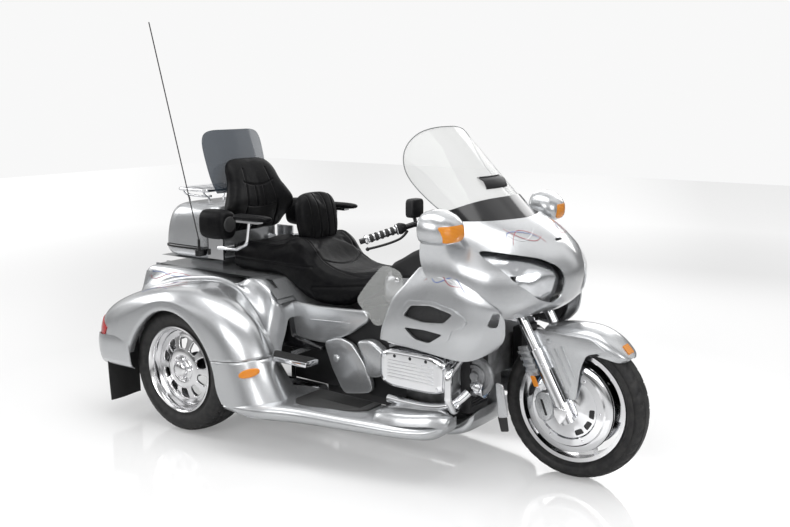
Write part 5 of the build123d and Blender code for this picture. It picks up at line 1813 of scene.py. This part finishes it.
pivot_outline = [
    (0.815, 0.505), (0.9, 0.52), (0.985, 0.47), (0.99, 0.4), (0.95, 0.35), (0.88, 0.345), (0.86, 0.42),
]
fit(plate("pivot_covers", pivot_outline, 0.03, -0.285, 0.06, 0.014), "chassis", silver, "silver_paint")
guard_outline = [(0.336, 0.65), (0.398, 0.64), (0.432, 0.47), (0.61, 0.44), (0.612, 0.425), (0.35, 0.412)]
fit(plate("seat_guards", guard_outline, 0.012, -0.282, 0.034, 0.006), "chassis", gloss_black, "gloss_black")

# Passenger footboards: black rubber pads ribbed across, in chrome trays.
# The trays keep their CAD shape with rounded edges, and the ribs are copies of one bar.
foot_low, foot_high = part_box("footboards")
fit(eased("footboards", "footboard_trays", 0.006), "chassis", chrome, "chrome", "footboards")
tread_x = foot_low.x - axle_x + 0.02
tread_outline = [
    (tread_x + x, foot_high.z + z) for x, z in ((0, 0), (0.008, 0), (0.007, 0.005), (0.001, 0.005))
]
tread = plate("tread", tread_outline, 0.001, -foot_high.y + 0.008, 0.074, 0.0005, mirrored=False)
treads = both_sides(row_of("treads", tread, 19, (0.0125, 0, 0), rubber))
treads.name = "footboard_treads"
fit(treads, "chassis", rubber, "rubber")

# Board mats: black ribbed rubber on the running boards.
# The sheet narrows with the board towards the front, and the ribs are copies of one bar.
mat_rings = []
for x, y_in, y_out in (
    (0.66, -0.345, -0.52), (0.7, -0.342, -0.56), (0.85, -0.342, -0.525), (0.97, -0.342, -0.48),
    (1.01, -0.345, -0.44),
):
    z = 0.262 if x < 0.8 else 0.258
    mat_rings.append(
        [
            (x, y_in, z - 0.003), (x, y_in, z + 0.004), (x, y_out + 0.004, z + 0.004), (x, y_out, z + 0.001),
            (x, y_out, z - 0.003),
        ]
    )
mat = lofted("mat", mat_rings, 4, mirrored=False)
rib_outline = [(0.68, 0.262), (0.686, 0.262), (0.685, 0.2665), (0.681, 0.2665)]
mat_rib = plate("mat_rib", rib_outline, 0.001, -0.45, 0.1, 0.0005, mirrored=False)
mats = joined("board_mats", [mat, row_of("mat_ribs", mat_rib, 22, (0.0135, 0, 0), rubber)])
fit(both_sides(mats), "chassis", rubber, "rubber")

# Tank cover: silver saddle between the fairing and the seat, lofted through rounded rectangles.
# A black pocket stands on each side of it inside the fairing.
tank_stations = [
    (0.866, 0.12, 0.795, 0.65), (0.88, 0.145, 0.812, 0.645), (0.95, 0.165, 0.842, 0.65),
    (1.04, 0.17, 0.866, 0.665), (1.13, 0.17, 0.882, 0.68), (1.19, 0.168, 0.884, 0.7),
    (1.215, 0.15, 0.872, 0.72),
]
tank = [oval(x, 0, (top + low) / 2, half, (top - low) / 2, 3.2, 40) for x, half, top, low in tank_stations]
fit(lofted("tank_cover_shell", tank, 4, mirrored=False), "chassis", silver, "silver_paint", "tank_cover")
pocket = []
for x, half_y, half_z, z in (
    (1.07, 0.04, 0.016, 0.868), (1.08, 0.058, 0.028, 0.872), (1.13, 0.072, 0.044, 0.886),
    (1.19, 0.076, 0.058, 0.908), (1.26, 0.074, 0.062, 0.925), (1.33, 0.066, 0.058, 0.93),
):
    pocket.append(oval(x, -0.306, z, half_y, half_z, 5, 28))
fit(lofted("fairing_pockets", pocket, 3), "chassis", black_plastic, "black_plastic")

# Wind deflectors: clear flat blades with rounded corners ahead of the rider's knees.
# Each is held by three chrome clips.
blade_outline = [(0.912, 0.73), (0.985, 0.822), (1.062, 0.903), (1.158, 0.88), (1.178, 0.7), (1.022, 0.622)]
deflector = plate("wind_deflectors", blade_outline, 0.03, -0.4, 0.004, 0.001)
fit(deflector, "chassis", clear_sheet, "clear_screen", "wind_wings")
clip_profile = [(0.0, 0.008), (0.008, 0.007), (0.011, 0.003), (0.011, -0.012), (0.0, -0.012)]
clips = []
for x, z in ((1.135, 0.842), (1.15, 0.735), (1.096, 0.672)):
    clips.append(turned("clip", at(x, -0.398, z), clip_profile, -1, 24))
fit(both_sides(joined("deflector_clips", clips)), "chassis", chrome, "chrome")


# Fork trim: a silver box behind each leg, above the reflector.
# Its four ribs are copies of one slanted bar.
box_outline = [(1.566, 0.562), (1.612, 0.572), (1.668, 0.452), (1.624, 0.442)]
line_outline = [(1.612, 0.458), (1.668, 0.47), (1.663, 0.482), (1.607, 0.47)]
rib_box = plate("rib_box", box_outline, 0.008, -0.13, 0.03, 0.004, mirrored=False)
rib_line = plate("rib_line", line_outline, 0.003, -0.134, 0.008, 0.002, mirrored=False)
fork_trim = joined("fork_trim", [rib_box, row_of("rib_lines", rib_line, 4, (-0.0125, 0, 0.0245), chrome)])
fit(both_sides(fork_trim), "steering", silver, "silver_paint")

# Front corner of the engine bay: silver guards beside the radiators with a black flap below, and a round ribbed
# cover of cast alloy.
corner_outline = [(1.548, 0.44), (1.584, 0.436), (1.612, 0.3), (1.566, 0.288)]
fit(plate("corner_guards", corner_outline, 0.012, -0.282, 0.01, 0.004), "chassis", silver, "silver_paint")
flap_outline = [(1.562, 0.296), (1.606, 0.302), (1.616, 0.24), (1.58, 0.232)]
fit(plate("corner_flaps", flap_outline, 0.006, -0.28, 0.004, 0.001), "chassis", rubber, "rubber")
round_cover = turned("round_covers", at(1.455, -0.288, 0.452), [
    (0.0, 0.012), (0.018, 0.012), (0.022, 0.004), (0.034, 0.004), (0.038, 0.01), (0.05, 0.01), (0.054, 0.003),
    (0.066, 0.003), (0.07, 0.009), (0.082, 0.008), (0.088, 0.0), (0.088, -0.01), (0.0, -0.01),
], -1, 64)
fit(both_sides(round_cover), "chassis", cast, "cast_alloy")

# Inner panels: black plastic sheets that close the frame's sides from the tub to the engine. A chrome moulding
# runs along the top of each valve cover.
inner_outline = [(0.39, 0.25), (0.39, 0.62), (0.88, 0.6), (1.06, 0.56), (1.06, 0.24)]
inner = plate("inner_panels", inner_outline, 0.01, -0.222, 0.004, 0.001)
fit(inner, "chassis", black_plastic, "black_plastic")
moulding_outline = [(1.06, 0.602), (1.39, 0.58), (1.402, 0.552), (1.385, 0.543), (1.075, 0.56)]
fit(plate("cover_mouldings", moulding_outline, 0.01, -0.392, 0.04, 0.008), "chassis", chrome, "chrome")
dimple_profile = [(0.0, 0.0025), (0.007, 0.003), (0.009, 0.0), (0.0, 0.0)]
dimples = []
for x in (-0.08, 0.0, 0.08):
    dimples.append(turned("dimple", at(bank_x + x, -0.4105, bank_z + 0.058), dimple_profile, -1, 20))
fit(both_sides(joined("cover_dimples", dimples)), "chassis", gloss_black, "gloss_black")

# Below the valve covers: a chrome header pipe each side.
# A silver toe is lofted over each running board's front end.
for side in (-1, 1):
    header = [
        (1.06, side * 0.356, 0.3), (1.12, side * 0.362, 0.3), (1.3, side * 0.362, 0.302),
        (1.4, side * 0.345, 0.33), (1.43, side * 0.3, 0.38),
    ]
    fit(pipe(f"header_pipe_{side + 1}", header, 0.019, sides=20), "chassis", chrome, "chrome")
toe_rings = []
for x, z, y_in, y_out in (
    (1.04, 0.258, -0.372, -0.44), (1.075, 0.28, -0.368, -0.5), (1.12, 0.292, -0.366, -0.516),
    (1.28, 0.304, -0.366, -0.492), (1.37, 0.306, -0.368, -0.45), (1.402, 0.292, -0.372, -0.418),
):
    toe_rings.append([
        (x, y_in, z - 0.05), (x, y_in, z - 0.006), (x, y_in - 0.006, z), (x, (y_in + y_out) / 2, z + 0.001),
        (x, y_out + 0.016, z - 0.003),
        (x, y_out + 0.005, z - 0.01), (x, y_out - 0.004, z - 0.03), (x, y_out - 0.01, z - 0.05),
    ])
toes = lofted("board_toes", toe_rings, 4)
fit(toes, "chassis", silver, "silver_paint")

# Windscreen edge: a thin grey bead along the sheet's cut edge; it is painted shade for the sheet's dark-looking
# edge.
# It follows the outline of the windscreen's own grid of points.
edge_shade_bead = pipe("screen_rim", [tuple(q) for q in edge_line], 0.0022, sides=8, sharp=True)
# its grey is painted shade along the clear sheet's edge
edge_shade_grey, spot = new_finish("screen_rim", (0.16, 0.17, 0.17), Roughness=0.25)
tone = spot.noise(12.0)
feed(edge_shade_grey, Roughness=tone * 0.1 + 0.18)
fit(edge_shade_bead, "chassis", edge_shade_grey, "clear_screen")


# Stripe ornament: thin painted lines in red, blue and white that sweep over the nose, the cowls, the wings and
# the deck's shoulders.
def stripe(grid, inside, line, width, lift=0.0016):
    """Thin ribbon on a surface's grid of points. The line's points are shares of its rows and its columns."""
    rows, columns = grid.shape[:2]
    marks = []
    for row, column in through_points(line, 14):
        r, c = row * (rows - 1.001), column * (columns - 1.001)
        i, j = int(r), int(c)
        a, b = r - i, c - j
        corner = grid[i : i + 2, j : j + 2]
        near = corner[0, 0] * (1 - a) + corner[1, 0] * a
        far = corner[0, 1] * (1 - a) + corner[1, 1] * a
        mark = near * (1 - b) + far * b
        normal = np.cross(corner[1, 0] - corner[0, 0], corner[0, 1] - corner[0, 0])
        normal = normal / np.linalg.norm(normal)
        marks.append((mark, normal * np.sign(np.dot(normal, mark - np.array(inside)))))
    vertices = []
    for n, (place, normal) in enumerate(marks):
        ahead = marks[min(n + 1, len(marks) - 1)][0] - marks[max(n - 1, 0)][0]
        across = np.cross(normal, ahead)
        taper = math.sin(math.pi * (n + 0.4) / (len(marks) - 0.2)) ** 0.5
        across = across / np.linalg.norm(across) * width / 2 * taper
        for step in (-across, across):
            vertices.append(at(*(place + step + normal * lift)))
    piece = new_mesh("stripe", vertices, grid_faces(len(marks), 2))
    return settle(modified(piece, "SOLIDIFY", thickness=0.0006))


stripe_width = 0.0032
stripe_reds = [
    (nose_grid, inside_nose, [(0.7, 0.33), (0.8, 0.355), (0.85, 0.39), (0.8, 0.425), (0.7, 0.44)], False),
    (nose_grid, inside_nose, [(0.88, 0.34), (0.78, 0.37), (0.73, 0.41), (0.78, 0.45)], False),
    (cowl_grid, inside_cowl, [(0.16, 0.22), (0.09, 0.36), (0.16, 0.5), (0.1, 0.64)], True),
    (wing_grid, inside_wing, [(0.5, 0.72), (0.56, 0.64), (0.62, 0.7), (0.58, 0.8), (0.52, 0.78)], True),
    (shoulder_grid, (0, 0, 0.5), [(0.2, 0.58), (0.26, 0.72), (0.32, 0.62), (0.38, 0.7)], True),
]
stripe_blues = [
    (nose_grid, inside_nose, [(0.76, 0.32), (0.84, 0.36), (0.82, 0.4), (0.75, 0.43)], False),
    (cowl_grid, inside_cowl, [(0.08, 0.24), (0.17, 0.38), (0.09, 0.52), (0.15, 0.68)], True),
    (wing_grid, inside_wing, [(0.54, 0.6), (0.6, 0.66), (0.66, 0.62)], True),
    (shoulder_grid, (0, 0, 0.5), [(0.18, 0.7), (0.25, 0.6), (0.33, 0.72), (0.4, 0.64)], True),
]
stripe_whites = [
    (nose_grid, inside_nose, [(0.82, 0.33), (0.74, 0.37), (0.8, 0.42), (0.86, 0.45)], False),
    (cowl_grid, inside_cowl, [(0.12, 0.2), (0.13, 0.45), (0.12, 0.72)], True),
    (wing_grid, inside_wing, [(0.52, 0.66), (0.58, 0.6), (0.64, 0.68)], True),
]
for word, colour, lines in (
    ("red", (0.36, 0.03, 0.05), stripe_reds), ("blue", (0.05, 0.12, 0.42), stripe_blues),
    ("white", (0.8, 0.81, 0.84), stripe_whites),
):
    paint, spot = new_finish(f"stripe_{word}", colour, Roughness=0.2, Coat_Weight=1.0)
    worn = spot.noise(60.0)
    feed(paint, Roughness=worn * 0.15 + 0.14)
    ribbons = []
    for grid, inside, line, mirrored_line in lines:
        ribbons.append(stripe(grid, inside, line, stripe_width))
        if mirrored_line:
            both_sides(ribbons[-1])
        else:
            flipped = [(row, 1 - column) for row, column in line]
            ribbons.append(stripe(grid, inside, flipped, stripe_width))
    fit(joined(f"stripes_{word}", ribbons), "chassis", paint, "silver_paint")


# Frame, axle, silencers, brackets and the rest keep their CAD shape.
# They take the finish of their own slot.
steel, spot = new_finish("black_steel", (0.018, 0.018, 0.019), Metallic=0.3, Roughness=0.4)
coat = spot.noise(120.0, Detail=3.0)
feed(steel, Roughness=coat * 0.25 + 0.28, Normal=coat.bump(0.15, 0.0006))
slot_finish = {
    "silver_paint": silver, "chrome": chrome, "polished_alloy": polished, "cast_alloy": cast,
    "black_steel": steel, "black_plastic": black_plastic, "gloss_black": gloss_black, "leather": leather,
    "rubber": rubber, "clear_screen": clear_sheet, "lamp_glass": lens_clear, "amber_glass": amber,
    "red_glass": red, "tyre": tyre_black,
}
for part in frame["record"]["subparts"]:
    node = frame["nodes"][part["node"]]
    if not node.hide_render and part["material_slot"] in slot_finish:
        node.data.materials.clear()
        node.data.materials.append(slot_finish[part["material_slot"]])
